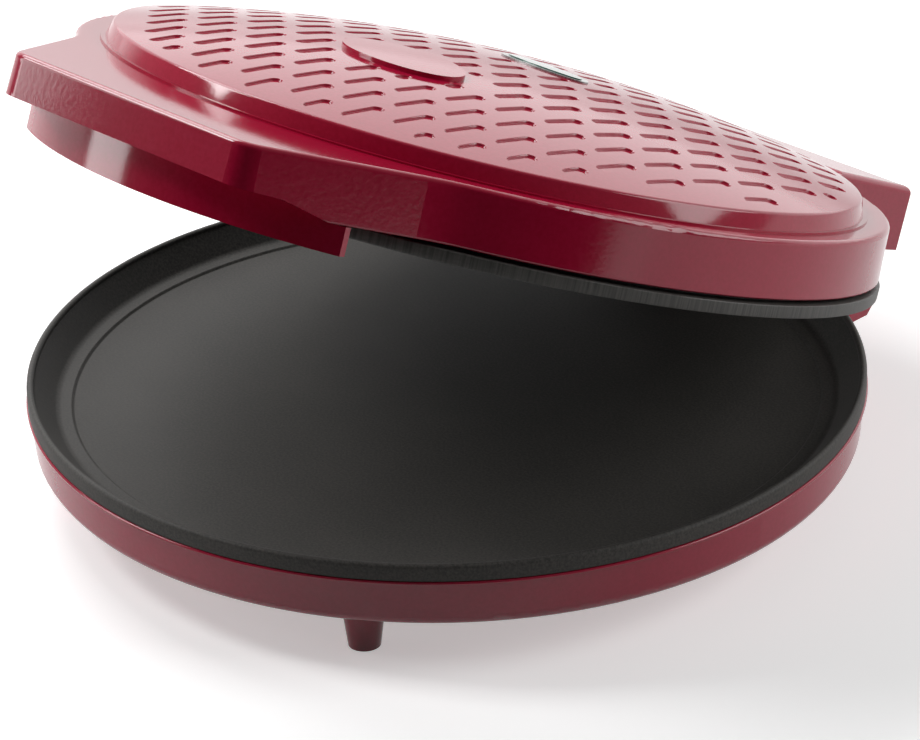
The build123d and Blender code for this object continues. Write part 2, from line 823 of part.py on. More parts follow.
# Lid panel: a domed shell with a bevelled edge that stands on the cover's step, a collar that fills
# the opening, and four posts that hang down to the ring
with BuildPart() as lid_panel:
    with BuildSketch(Plane.XZ):
        with BuildLine():
            dome_arc = dome_edge(0.0, panel_radius)
            inner_arc = dome_edge(-lid_wall, panel_opening - fit_gap - lid_wall)
            Polyline(
                dome_arc @ 0,
                (bevel_foot_radius, panel_foot),
                (panel_opening - fit_gap, panel_foot),
                (panel_opening - fit_gap, lid_flange - lid_wall),
                (panel_opening - fit_gap - lid_wall, lid_flange - lid_wall),
                inner_arc @ 0,
            )
            Line(dome_arc @ 1, inner_arc @ 1)
        make_face()
    revolve(axis=Axis.Z)
    with BuildSketch(Plane.XY.offset(post_end)):
        with Locations(*lid_posts):
            Circle(post_radius)
            Circle(screw_radius + pin_gap, mode=Mode.SUBTRACT)
    extrude(amount=post_length)
keep_open(lid_panel, "lid_panel")

guard_draft = (underside_front_rise + seat_gap + guard_sheet) * tan(radians(lid_draft_angle))

# Finger guard: a sheet that closes the handle from below, with a curved wall hanging from it
with BuildPart() as handle_guard:
    with BuildSketch(Plane.YZ):
        with BuildLine():
            Polyline(
                (-guard_back, lid_bottom + seat_gap),
                (-underside_start, lid_bottom + seat_gap),
                (-underside_knee, lid_bottom + underside_knee_rise + seat_gap),
                (-handle_front, lid_bottom + underside_front_rise + seat_gap),
                (-handle_front, lid_bottom + underside_front_rise + seat_gap + guard_sheet),
                (-underside_knee, lid_bottom + underside_knee_rise + seat_gap + guard_sheet),
                (-underside_start, lid_bottom + seat_gap + guard_sheet),
                (-guard_back, lid_bottom + seat_gap + guard_sheet),
                close=True,
            )
        make_face()
    extrude(amount=lid_radius, both=True)
    with BuildSketch(Plane.XY.offset(lid_bottom)):
        add(lid_outline(lid_wall + fit_gap + guard_draft))
        Circle(lid_radius - lid_wall + fit_gap, mode=Mode.SUBTRACT)
    extrude(amount=lid_wall_height, mode=Mode.INTERSECT)
    with BuildPart(mode=Mode.PRIVATE) as skirt:
        with BuildSketch(Plane.XY.offset(guard_bottom)):
            with Locations((0, guard_arc_radius - guard_front)):
                Circle(guard_arc_radius)
                Circle(guard_arc_radius - guard_wall, mode=Mode.SUBTRACT)
            with Locations((0, guard_arc_radius - guard_front)):
                Rectangle(2 * guard_half_width, 3 * guard_arc_radius, mode=Mode.INTERSECT)
            Rectangle(2 * lid_radius, 2 * (guard_front - guard_sagitta - guard_wall * 3), mode=Mode.SUBTRACT)
            with Locations((0, lid_radius * 2)):
                Rectangle(4 * lid_radius, 4 * lid_radius, mode=Mode.SUBTRACT)
        extrude(amount=lid_flange - guard_bottom)
        with BuildSketch(Plane.XY.offset(lid_bottom - seat_gap)):
            Rectangle(4 * lid_radius, 4 * lid_radius)
            add(lid_outline(lid_wall + fit_gap + guard_draft), mode=Mode.SUBTRACT)
        extrude(amount=lid_wall_height, mode=Mode.SUBTRACT)
        with BuildSketch(Plane.YZ):
            with BuildLine():
                Polyline(
                    (0, lid_bottom + seat_gap + guard_sheet / 2),
                    (-underside_start, lid_bottom + seat_gap + guard_sheet / 2),
                    (-underside_knee, lid_bottom + underside_knee_rise + seat_gap + guard_sheet / 2),
                    (-handle_front, lid_bottom + underside_front_rise + seat_gap + guard_sheet / 2),
                    (-handle_front, lid_flange + lid_wall),
                    (0, lid_flange + lid_wall),
                    close=True,
                )
            make_face()
        extrude(amount=lid_radius, both=True, mode=Mode.SUBTRACT)
    add(skirt.part)
    with BuildSketch(Plane.XY.offset(lid_bottom)):
        with Locations(*guard_posts):
            Circle(screw_radius + fit_gap)
    extrude(amount=lid_wall_height, mode=Mode.SUBTRACT)
keep_open(handle_guard, "handle_guard")

for number, point in enumerate(guard_posts, 1):
    guard_screw = screw(point, lid_bottom + seat_gap - fit_gap - screw_head_height, post_screw_depth)
    keep_open(guard_screw, f"guard_screw_{number}")

# Upper plate, with a rim that meets the pan's rim when the lid is closed
with BuildPart() as upper_plate:
    with BuildSketch(Plane.XZ):
        with BuildLine():
            Polyline(
                (0, upper_plate_low + upper_recess),
                (upper_plate_radius - upper_rim_width - upper_recess, upper_plate_low + upper_recess),
                (upper_plate_radius - upper_rim_width, upper_plate_low),
                (upper_plate_radius, upper_plate_low),
                (upper_plate_radius, upper_wall_top),
                (upper_body_radius, upper_wall_top),
                (upper_body_radius, upper_body_top),
                (0, upper_body_top),
                close=True,
            )
        make_face()
    revolve(axis=Axis.Z)
    with BuildSketch(Plane.XY.offset(upper_body_top - upper_recess)):
        with Locations(*pan_bosses):
            Circle(plate_boss_radius)
    extrude(amount=upper_boss_end - upper_body_top + upper_recess)
    with BuildSketch(Plane.XY.offset(upper_boss_end)):
        with Locations(*pan_bosses):
            Circle(screw_radius + pin_gap)
    extrude(amount=-plate_screw_length + reflector_sheet, mode=Mode.SUBTRACT)
keep_open(upper_plate, "upper_plate")

# Ring that closes the lid around the plate, and the reflector that hangs the plate from it
arm_screws = [(-arm_offset + arm_foot_width / 2, arm_front + arm_foot_length / 2)]
arm_screws.append((arm_offset - arm_foot_width / 2, arm_front + arm_foot_length / 2))
with BuildPart() as lid_frame:
    with BuildSketch(Plane.XY.offset(frame_low)):
        Circle(frame_radius)
        Circle(frame_inner_radius, mode=Mode.SUBTRACT)
        with Locations(*lid_posts, *arm_screws):
            Circle(screw_radius + fit_gap, mode=Mode.SUBTRACT)
    extrude(amount=frame_thickness)
keep_open(lid_frame, "lid_frame")

with BuildPart() as upper_reflector:
    with BuildSketch(Plane.XZ):
        with BuildLine():
            Polyline(
                (reflector_radius - reflector_sheet, frame_top),
                (reflector_radius + reflector_flange, frame_top),
                (reflector_radius + reflector_flange, frame_top + reflector_sheet),
                (reflector_radius, frame_top + reflector_sheet),
                (reflector_radius, upper_reflector_top),
                (0, upper_reflector_top),
                (0, upper_reflector_top - reflector_sheet),
                (reflector_radius - reflector_sheet, upper_reflector_top - reflector_sheet),
                close=True,
            )
        make_face()
    revolve(axis=Axis.Z)
    with BuildSketch(Plane.XY.offset(frame_top - fit_gap)):
        with Locations(*lid_posts, *pan_bosses):
            Circle(screw_radius + fit_gap)
    extrude(amount=reflector_depth + 2 * fit_gap, mode=Mode.SUBTRACT)
keep_open(upper_reflector, "upper_reflector")

upper_element = heater(upper_element_level)
keep_open(upper_element, "upper_element")
for number, angle in enumerate((clamp_start, clamp_start + 120, clamp_start + 240), 1):
    keep_open(clamp(angle, upper_element_level, upper_body_top), f"upper_clamp_{number}")

for number, point in enumerate(pan_bosses, 1):
    plate_screw = screw(point, upper_reflector_top + screw_head_height, plate_screw_length - 2 * fit_gap, way=-1)
    keep_open(plate_screw, f"plate_screw_{number}")

for number, point in enumerate(lid_posts, 1):
    frame_screw = screw(point, frame_low - screw_head_height, post_screw_depth)
    keep_open(frame_screw, f"frame_screw_{number}")

# Hinge arms: a plate with an eye round the pin and a foot screwed to the ring
for side_name, side in (("left", -1), ("right", 1)):
    with BuildPart() as hinge_arm:
        with BuildSketch(Plane.YZ.offset(side * arm_offset)):
            with BuildLine():
                Polyline(
                    (hinge_y - hinge_eye_radius, hinge_z),
                    (hinge_y - hinge_eye_radius, frame_top + arm_front_height),
                    (arm_front + arm_foot_length, frame_top),
                    (arm_front, frame_top),
                    (arm_front, frame_top + arm_front_height),
                    (arm_top_start, arm_top),
                    (arm_back, arm_top),
                    (arm_back, hinge_z),
                    close=True,
                )
            make_face()
            with Locations((hinge_y, hinge_z)):
                Circle(hinge_eye_radius)
                Circle(hinge_pin_radius + pin_gap, mode=Mode.SUBTRACT)
        extrude(amount=arm_thickness / 2, both=True)
        with BuildSketch(Plane.XY.offset(frame_top)):
            with Locations((side * (arm_offset - arm_foot_width / 2), arm_front + arm_foot_length / 2)):
                Rectangle(arm_foot_width, arm_foot_length)
                Circle(screw_radius + fit_gap, mode=Mode.SUBTRACT)
        extrude(amount=arm_foot_sheet)
    keep_open(hinge_arm, f"hinge_arm_{side_name}")
    arm_screw = screw(
        (side * (arm_offset - arm_foot_width / 2), arm_front + arm_foot_length / 2),
        frame_top + arm_foot_sheet + screw_head_height,
        arm_foot_sheet + frame_thickness,
        way=-1,
    )
    keep_open(arm_screw, f"arm_screw_{side_name}")

# Bare name plate and badge on the dome
name_plate = dome_plate(
    name_plate_half_length, name_plate_half_width, name_plate_centre, 0.0, name_plate_thickness
)
keep_open(name_plate, "name_plate")
badge_plate = dome_plate(badge_half_length, badge_half_width, badge_centre, 0.0, badge_thickness)
keep_open(badge_plate, "badge_plate")
badge_inlay = dome_plate(
    badge_half_length - badge_border,
    badge_half_width - badge_border,
    badge_centre,
    badge_thickness,
    badge_thickness + badge_inlay_thickness,
)
keep_open(badge_inlay, "badge_inlay")

# The whole machine, moved so that the origin is on the table under its middle
whole = Compound(list(finished.values())).bounding_box()
middle = (whole.min.Y + whole.max.Y) / 2
for name, piece in finished.items():
    placed = piece.moved(Location((0, -middle, 0)))
    placed.label = name
    export_step(placed, f"parts/{name}.step")
print(f"the pan's middle lies {middle:.3f} mm in front of the origin, the hinge {hinge_y - middle:.3f} behind it")
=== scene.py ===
"""Looks of an electric pizza maker with a hinged, slotted lid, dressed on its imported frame."""

import json
import logging
import math
from dataclasses import dataclass
from enum import Enum

import bmesh
import bpy
from mathutils import Matrix, Vector

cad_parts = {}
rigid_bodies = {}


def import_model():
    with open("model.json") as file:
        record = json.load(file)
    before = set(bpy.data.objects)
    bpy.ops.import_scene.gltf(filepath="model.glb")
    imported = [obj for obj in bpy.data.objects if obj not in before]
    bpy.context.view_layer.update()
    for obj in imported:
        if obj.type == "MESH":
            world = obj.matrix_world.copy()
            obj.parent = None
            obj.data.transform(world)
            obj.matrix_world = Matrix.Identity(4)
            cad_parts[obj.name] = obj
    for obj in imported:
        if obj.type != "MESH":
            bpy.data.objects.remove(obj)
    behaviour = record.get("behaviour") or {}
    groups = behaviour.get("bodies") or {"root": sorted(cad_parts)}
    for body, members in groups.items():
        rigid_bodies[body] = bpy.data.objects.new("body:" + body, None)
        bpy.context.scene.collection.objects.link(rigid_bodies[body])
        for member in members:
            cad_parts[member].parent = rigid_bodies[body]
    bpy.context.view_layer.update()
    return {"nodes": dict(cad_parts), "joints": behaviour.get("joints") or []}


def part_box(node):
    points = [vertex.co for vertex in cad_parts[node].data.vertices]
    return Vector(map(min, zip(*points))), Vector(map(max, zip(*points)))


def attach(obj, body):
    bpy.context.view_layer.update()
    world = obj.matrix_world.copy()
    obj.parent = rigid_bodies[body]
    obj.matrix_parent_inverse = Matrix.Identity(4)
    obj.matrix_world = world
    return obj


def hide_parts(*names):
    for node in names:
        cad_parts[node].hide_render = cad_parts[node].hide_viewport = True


LOG = logging.getLogger("pizza_maker")
MM = 0.001
PEG_SIDES = 32
MATH = "ShaderNodeMath"
VECTOR_MATH = "ShaderNodeVectorMath"
MAP_RANGE = "ShaderNodeMapRange"
MIX = "ShaderNodeMix"
TIMES = {"operation": "MULTIPLY"}
LARGER = {"operation": "MAXIMUM"}
DOT = {"operation": "DOT_PRODUCT"}
CUT = {"operation": "DIFFERENCE", "solver": "MANIFOLD"}
COLOURS = {"data_type": "RGBA"}
NUMBERS = {"data_type": "FLOAT"}
Flat = tuple[float, float]
Spot = tuple[float, float, float]


def linear(colour: str) -> tuple[float, float, float, float]:
    """Turn an sRGB hex colour into Blender's linear colour.

    Args:
        colour: six hex digits, such as "a01c33".

    Returns:
        Red, green, blue and alpha, from 0 to 1.
    """
    parts = [int(colour[i : i + 2], 16) / 255 for i in (0, 2, 4)]
    return (*(p / 12.92 if p <= 0.04045 else ((p + 0.055) / 1.055) ** 2.4 for p in parts), 1.0)


def add(tree: bpy.types.NodeTree, kind: str, settings: dict | None = None, **inputs) -> bpy.types.Node:
    """Add a node to a tree, with its settings and what goes into its sockets.

    Args:
        tree: the shader or geometry tree.
        kind: the node's type name.
        settings: the node's own settings by name.
        **inputs: a value, or a socket to link, by the input's place (s0, s1) or its name.

    Returns:
        The new node.
    """
    node = tree.nodes.new(kind)
    for name, value in (settings or {}).items():
        setattr(node, name, value)
    for name, value in inputs.items():
        key = int(name[1:]) if name[0] == "s" and name[1:].isdigit() else name.replace("_", " ")
        socket = node.inputs[key]
        if isinstance(value, bpy.types.NodeSocket):
            tree.links.new(value, socket)
        else:
            socket.default_value = value
    return node


@dataclass(frozen=True)
class LidPose:
    """Where the lid rests: turned open about the hinge line, from the closed place that it is drawn in."""

    pan_shift: float
    hinge_y: float
    hinge_z: float
    angle: float

    def flat(self) -> Matrix:
        """Return the move that puts a piece of the base, in millimetres about the pan, into the row frame."""
        return Matrix.Scale(MM, 4) @ Matrix.Translation((0, -self.pan_shift, 0))

    def matrix(self) -> Matrix:
        """Work out where the open lid puts what is drawn closed.

        Returns:
            The move from closed millimetres, measured from the pan's middle, to the row frame in metres.
        """
        pin = Vector((0, self.hinge_y, self.hinge_z))
        turn = Matrix.Rotation(-math.radians(self.angle), 4, "X")
        about = Matrix.Translation(pin) @ turn @ Matrix.Translation(-pin)
        return Matrix.Scale(MM, 4) @ about @ Matrix.Translation((0, -self.pan_shift, 0))


class Grain(Enum):
    """How a surface was made, which sets how its pattern runs."""

    POLISHED = "polished mould"
    MATT = "fine spark-eroded mould"
    SPRAYED = "sprayed coat"
    TURNED = "turned on a lathe"
    ROLLED = "rolled sheet"
    BRUSHED = "brushed one way"

    def stretch(self) -> Spot:
        """Say how the pattern is drawn out into lines.

        Returns:
            How fine it runs along X, Y and Z, where a small number draws it out.
        """
        runs = {
            Grain.TURNED: (1.0, 1.0, 0.03),
            Grain.BRUSHED: (1.0, 0.05, 0.05),
            Grain.ROLLED: (0.25, 1.0, 1.0),
        }
        return runs.get(self, (1.0, 1.0, 1.0))


@dataclass(frozen=True)
class Finish:
    """One real finish: what it is made of, how its surface was made and how it reflects."""

    name: str
    colour: str
    second: str
    roughness: float
    grain: Grain
    grain_mm: float
    bump_mm: float = 0.01
    metallic: float = 0.0
    ior: float = 1.5
    coat: float = 0.0
    tilt: float = 0.0
    patch_mm: float = 35.714
    patch_share: float = 0.12
    tint_span: Flat = (0.38, 0.62)
    rough_span: Flat = (0.3, 0.7)
    rough_spread: float = 0.15

    def build(self) -> bpy.types.Material:
        """Build the finish as a material on Object coordinates.

        Returns:
            The material.
        """
        material = bpy.data.materials.new(self.name)
        material.use_nodes = True
        tree = material.node_tree
        tree.nodes.clear()
        place = add(tree, "ShaderNodeTexCoord").outputs["Object"]
        tilt = (math.radians(self.tilt), 0.0, 0.0)
        turned = add(tree, "ShaderNodeMapping", Vector=place, Rotation=tilt).outputs[0]
        laid = add(tree, "ShaderNodeMapping", Vector=turned, Scale=self.grain.stretch()).outputs[0]
        fine, coarse = 1.0 / (self.grain_mm * MM), 1.0 / (self.patch_mm * MM)
        noise = "ShaderNodeTexNoise"
        grain = add(tree, noise, Vector=laid, Scale=fine, Detail=3.0, Roughness=0.6).outputs["Fac"]
        patches = add(tree, noise, Vector=place, Scale=coarse, Detail=2.0).outputs["Fac"]
        cloud = add(tree, MATH, TIMES, s0=patches, s1=self.patch_share).outputs[0]
        grains = add(tree, MATH, TIMES, s0=grain, s1=1.0 - self.patch_share).outputs[0]
        both = add(tree, MATH, {"operation": "ADD"}, s0=grains, s1=cloud).outputs[0]
        low, high = self.tint_span
        share = add(tree, MAP_RANGE, Value=both, From_Min=low, From_Max=high).outputs[0]
        first, second = linear(self.colour), linear(self.second)
        tint = add(tree, MIX, COLOURS, s0=share, s6=first, s7=second).outputs[2]
        rough = add(
            tree,
            MAP_RANGE,
            Value=grain,
            From_Min=self.rough_span[0],
            From_Max=self.rough_span[1],
            To_Min=self.roughness * (1.0 - self.rough_spread),
            To_Max=min(1.0, self.roughness * (1.0 + self.rough_spread)),
        ).outputs[0]
        bump = add(tree, "ShaderNodeBump", Height=grain, Distance=self.bump_mm * MM, Strength=1.0).outputs[0]
        shader = add(
            tree,
            "ShaderNodeBsdfPrincipled",
            Base_Color=tint,
            Roughness=rough,
            Metallic=self.metallic,
            IOR=self.ior,
            Coat_Weight=self.coat,
            Normal=bump,
        )
        add(tree, "ShaderNodeOutputMaterial", Surface=shader.outputs[0])
        return material


# Each grain is drawn 0.4 to 2 mm wide, coarser than most real ones, because a finer one wouldn't show.

# ABS from a polished mould, deep cherry red: a hard gloss that mirrors the room, with a faint orange peel
GLOSS_RED = Finish("polished_cherry_abs", "a30f32", "ab1438", 0.1, Grain.POLISHED, 1.7, bump_mm=0.016)
# Non-stick coat sprayed on cast aluminium: black with a fine dry grain that softens every highlight
NON_STICK = Finish(
    "sprayed_non_stick_coat", "363533", "4f4c49", 0.6, Grain.SPRAYED, 1.0, bump_mm=0.06, ior=1.34
)
# The upper plate, turned after casting and coated: dark grey with upright tool lines on its rim
TURNED_RIM = Finish(
    "turned_coated_aluminium", "32312f", "504e4b", 0.48, Grain.TURNED, 1.0, bump_mm=0.07, ior=1.4, tilt=21.0
)
# Sheet steel with a baked black enamel: a near-black half gloss, for what closes the base from below
BLACK_SHEET = Finish("baked_black_sheet_steel", "1b1b1c", "242425", 0.35, Grain.ROLLED, 1.5)
# Zinc-plated sheet: cool grey with a faint rolled streak
ZINC_SHEET = Finish("zinc_plated_sheet", "9a9da0", "b7b9bb", 0.32, Grain.ROLLED, 1.2, metallic=1.0)
# Drawn tube of a heating element, darkened by heat: a brown grey with a dull metal sheen
ELEMENT_TUBE = Finish("heat_darkened_tube", "4b4640", "5c554c", 0.42, Grain.TURNED, 0.5, metallic=0.9)
# Nickel-plated steel of screws and pins: bright, with fine tool marks
PLATED_STEEL = Finish("nickel_plated_steel", "b9b7b2", "c9c7c2", 0.22, Grain.TURNED, 0.4, metallic=1.0)
# Moulded acetal of the hinge washers: a waxy off-white between the bright pins and the red ears
WASHER = Finish("natural_acetal", "d8d4c8", "e2dfd4", 0.4, Grain.MATT, 0.5)
# Pressed ceramic of the terminal block: a dry ivory
BLOCK = Finish("ivory_ceramic_block", "dcd6c6", "e6e1d4", 0.5, Grain.SPRAYED, 0.4, bump_mm=0.02)
# Woven glass-fibre sleeve on the leads: a chalky white without any shine
SLEEVE = Finish("glass_fibre_sleeve", "e4e1da", "cfcbc1", 0.7, Grain.MATT, 0.6, bump_mm=0.06)
# Moulded nylon of the inlet bushing: a soft black
BLACK_PLASTIC = Finish("black_nylon", "161617", "1e1e1f", 0.38, Grain.MATT, 0.5, bump_mm=0.02)
# Silver film of the bare rating label: a pale satin patch on the black cover
LABEL = Finish("bare_silver_film", "c9cacb", "d2d3d4", 0.3, Grain.BRUSHED, 0.6, bump_mm=0.004, metallic=0.6)
# Soft rubber of the foot pads: a dusty dark grey that mirrors nothing
RUBBER = Finish("soft_grey_rubber", "232324", "2c2c2d", 0.75, Grain.MATT, 0.4, bump_mm=0.03)
# Bare badge, a thin plate painted silver under lacquer: a narrow bright border
SILVER_PLATE = Finish(
    "silver_painted_badge", "9ba09f", "aab0ae", 0.28, Grain.BRUSHED, 0.5, metallic=0.5, coat=0.6
)
# Field of the badge, green under a clear coat: one dark glossy spot on the red dome
GREEN_PLATE = Finish(
    "green_gloss_inlay", "0d4a3a", "14604a", 0.16, Grain.POLISHED, 2.0, bump_mm=0.003, coat=1.0
)


def mesh_object(name: str, mesh: bpy.types.Mesh) -> bpy.types.Object:
    """Link a mesh to the scene as an object at the origin.

    Args:
        name: the object's name.
        mesh: its mesh.

    Returns:
        The new object.
    """
    thing = bpy.data.objects.new(name, mesh)
    bpy.context.scene.collection.objects.link(thing)
    return thing


def turned_mesh(name: str, profile: list[Flat], segments: int) -> bpy.types.Mesh:
    """Turn a closed profile about Z.

    Args:
        name: the mesh's name.
        profile: radius and height of each point, starting and ending on the axis.
        segments: how many steps go round.

    Returns:
        A closed mesh with one point at each pole.
    """
    points: list[Spot] = [(0.0, 0.0, profile[0][1])]
    faces: list[tuple[int, ...]] = []
    angles = [2 * math.pi * k / segments for k in range(segments)]
    rings: list[int] = []
    for radius, height in profile[1:-1]:
        rings.append(len(points))
        points += [(radius * math.cos(a), radius * math.sin(a), height) for a in angles]
    last = len(points)
    points.append((0.0, 0.0, profile[-1][1]))
    for k in range(segments):
        n = (k + 1) % segments
        faces.append((0, rings[0] + k, rings[0] + n))
        for a, b in zip(rings, rings[1:]):
            faces.append((a + k, b + k, b + n, a + n))
        faces.append((rings[-1] + k, last, rings[-1] + n))
    mesh = bpy.data.meshes.new(name)
    mesh.from_pydata(points, [], faces)
    mesh.update()
    return mesh


def rounded(corner: Vector, before: Vector, after: Vector, radius: float, steps: int) -> list[Flat]:
    """Round one corner of a profile.

    Args:
        corner: the sharp corner.
        before: a point on the run that leads to it.
        after: a point on the run that leaves it.
        radius: the arc's radius.
        steps: how many runs the arc is drawn with.

    Returns:
        The arc's points in order.
    """
    one, two = (before - corner).normalized(), (after - corner).normalized()
    half = one.angle(two) / 2
    middle = corner + (one + two).normalized() * (radius / math.sin(half))
    start = corner + one * (radius / math.tan(half)) - middle
    end = corner + two * (radius / math.tan(half)) - middle
    sweep = start.angle_signed(end)
    return [tuple(middle + Matrix.Rotation(-sweep * k / steps, 2) @ start) for k in range(steps + 1)]


def smooth_by_angle(mesh: bpy.types.Mesh, degrees: float) -> None:
    """Shade a mesh smooth, and keep every edge sharper than an angle hard."""
    mesh.shade_smooth()
    mesh.set_sharp_from_angle(angle=math.radians(degrees))


def add_pegs(mesh: bpy.types.Mesh, spots: list[Flat], radius: float, low: float, high: float) -> None:
    """Add upright round pegs to a mesh, in closed millimetres.

    Args:
        mesh: the mesh that grows.
        spots: the pegs' middles.
        radius: their radius.
        low: where they start.
        high: where they end.
    """
    work = bmesh.new()
    work.from_mesh(mesh)
    for x, y in spots:
        bmesh.ops.create_cone(
            work,
            cap_ends=True,
            segments=PEG_SIDES,
            radius1=radius,
            radius2=radius,
            depth=high - low,
            matrix=Matrix.Translation((x, y, (low + high) / 2)),
        )
    work.to_mesh(mesh)
    work.free()


def closed_middle(node: str, place: Matrix) -> Flat:
    """Find where a piece's middle lies in closed millimetres, seen from above.

    Args:
        node: the piece's name in the frame.
        place: the move from closed millimetres to the row frame.

    Returns:
        Its middle along X and Y.
    """
    low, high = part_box(node)
    middle = place.inverted() @ ((Vector(low) + Vector(high)) / 2)
    return middle.x, middle.y


def new_tree(name: str, inputs: dict[str, str]) -> bpy.types.NodeTree:
    """Start a geometry tree that takes and gives geometry.

    Args:
        name: the tree's name.
        inputs: its other inputs, each with its kind of socket.

    Returns:
        The tree, with its sockets and no nodes.
    """
    tree = bpy.data.node_groups.new(name, "GeometryNodeTree")
    for label, kind in {"Geometry": "Geometry", **inputs}.items():
        tree.interface.new_socket(label, in_out="INPUT", socket_type=f"NodeSocket{kind}")
    tree.interface.new_socket("Geometry", in_out="OUTPUT", socket_type="NodeSocketGeometry")
    return tree


def run_tree(start: bpy.types.Object, tree: bpy.types.NodeTree, values: dict[str, object]) -> bpy.types.Mesh:
    """Run a geometry tree on an object and keep the result as a plain mesh.

    Args:
        start: the object that the tree starts from.
        tree: the geometry tree.
        values: what goes into the tree's inputs, by name.

    Returns:
        The new mesh.
    """
    step = start.modifiers.new(tree.name, "NODES")
    step.node_group = tree
    for item in tree.interface.items_tree:
        if item.in_out == "INPUT" and item.name in values:
            step[item.identifier] = values[item.name]
    bpy.context.view_layer.update()
    return bpy.data.meshes.new_from_object(start.evaluated_get(bpy.context.evaluated_depsgraph_get()))


@dataclass(frozen=True)
class OvalPlate:
    """A bare oval plate on the dome that the slots keep clear of, in closed millimetres."""

    half_length: float
    half_width: float
    middle_y: float


@dataclass
class SlottedPanel:
    """The domed panel of the lid, with its bevelled edge and its staggered rows of pressed slots."""

    pose: LidPose
    finish: bpy.types.Material
    radius: float = 148.5
    edge_height: float = 83.4
    rise: float = 16.9
    foot_radius: float = 150.5
    foot_height: float = 77.2
    collar_radius: float = 146.3
    collar_foot: float = 74.0
    wall: float = 2.5
    edge_round: float = 1.6
    edge_steps: int = 6
    segments: int = 288
    rings: int = 34
    under_rings: int = 12
    slot_width: float = 5.0
    slot_length: float = 19.6
    slot_depth: float = 0.8
    slot_lip: float = 0.3
    slot_draft: float = 0.06
    floor_inset: float = 0.25
    floor_rise: float = 0.15
    tool_reach: float = 0.9
    end_steps: int = 7
    column_step: float = 13.3
    row_step: float = 26.6
    row_phase: float = -2.2
    shortest_slot: float = 5.25
    clear_edge: float = 6.0
    clear_plate: float = 3.4
    side_share: float = 0.6
    plates: tuple[OvalPlate, ...] = (OvalPlate(28.5, 17.0, -55.0), OvalPlate(22.0, 9.0, 27.0))
    post_angles: tuple[int, ...] = (45, 135, 225, 315)
    post_circle: float = 138.0
    post_radius: float = 4.2
    post_foot: float = 61.6
    sharp_angle: float = 32.0
    on_dome: float = 0.02

    def dome(self) -> Flat:
        """Return the dome's ball radius and the height of the ball's middle."""
        ball = (self.radius**2 + self.rise**2) / (2 * self.rise)
        return ball, self.edge_height + self.rise - ball

    def profile(self) -> list[Flat]:
        """Draw the panel's outline from the top of the dome, over the edge, and back to the axis inside.

        Returns:
            Radius and height of each point.
        """
        ball, middle = self.dome()
        inner = ball - self.wall
        collar_inner = self.collar_radius - self.wall
        run = [self.radius * (k / self.rings) for k in range(1, self.rings)]
        outer = [(r, middle + math.sqrt(ball**2 - r**2)) for r in run if r < self.radius - self.edge_round]
        corner = Vector((self.radius, self.edge_height))
        foot = (self.foot_radius, self.foot_height)
        edge = rounded(corner, Vector(outer[-1]), Vector(foot), self.edge_round, self.edge_steps)
        collar = [
            foot,
            (self.collar_radius, self.foot_height),
            (self.collar_radius, self.collar_foot),
            (collar_inner, self.collar_foot),
        ]
        under = [collar_inner * (1 - k / self.under_rings) for k in range(self.under_rings)]
        inside = [(r, middle + math.sqrt(inner**2 - r**2)) for r in under]
        return [(0.0, middle + ball), *outer, *edge, *collar, *inside, (0.0, middle + inner)]

    def slot_points(self) -> list[Spot]:
        """Lay the slots out in staggered columns, and shorten each where the edge or a plate is in its way.

        Returns:
            The middle of each slot and half the length of its straight part.
        """
        found = []
        half, end = self.slot_length / 2, self.slot_width / 2
        reach = self.radius - self.clear_edge
        columns = int(reach / self.column_step) + 1
        rows = int(reach / self.row_step) + 1
        for column in range(-columns, columns):
            x = (column + 0.5) * self.column_step
            if abs(x) + end > reach:
                continue
            limit = math.sqrt(reach**2 - (abs(x) + end) ** 2)
            for row in range(-rows, rows + 1):
                y = self.row_phase + (column % 2) * self.row_step / 2 + row * self.row_step
                low, high = max(y - half, -limit), min(y + half, limit)
                for plate in self.plates:
                    across = (abs(x) - end * self.side_share) / (plate.half_length + self.clear_plate)
                    if across >= 1:
                        continue
                    span = (plate.half_width + self.clear_plate) * math.sqrt(1 - max(across, 0.0) ** 2)
                    if low < plate.middle_y + span and high > plate.middle_y - span:
                        if y < plate.middle_y:
                            high = min(high, plate.middle_y - span)
                        else:
                            low = max(low, plate.middle_y + span)
                if high - low > self.shortest_slot:
                    found.append((x, (low + high) / 2, (high - low) / 2 - end))
        return found

    def cutter(self) -> bpy.types.Mesh:
        """Build the tool that presses one slot: a round-ended block that opens out at the lip.

        Returns:
            The closed tool, with an attribute that tells its two ends apart.
        """
        end = self.slot_width / 2
        levels = [
            (end + self.slot_lip + self.tool_reach, self.tool_reach),
            (end + self.slot_lip, 0.0),
            (end, -self.slot_lip),
            (end - self.slot_draft, -self.slot_depth + self.floor_rise),
            (end - self.floor_inset, -self.slot_depth),
        ]
        points, faces, side = [], [], []
        for radius, height in levels:
            for half_turn in (1, -1):
                for k in range(self.end_steps):
                    angle = math.pi * k / (self.end_steps - 1)
                    out, along = half_turn * radius * math.cos(angle), half_turn * radius * math.sin(angle)
                    points.append((out, along, height))
                    side.append(float(half_turn))
        count = 2 * self.end_steps
        for level in range(len(levels) - 1):
            for k in range(count):
                n = (k + 1) % count
                a, b = level * count, (level + 1) * count
                faces.append((a + n, a + k, b + k, b + n))
        faces.append(tuple(range(count)))
        faces.append(tuple(reversed(range((len(levels) - 1) * count, len(levels) * count))))
        mesh = bpy.data.meshes.new("slot_tool")
        mesh.from_pydata(points, [], faces)
        mesh.attributes.new("side", "FLOAT", "POINT").data.foreach_set("value", side)
        return mesh

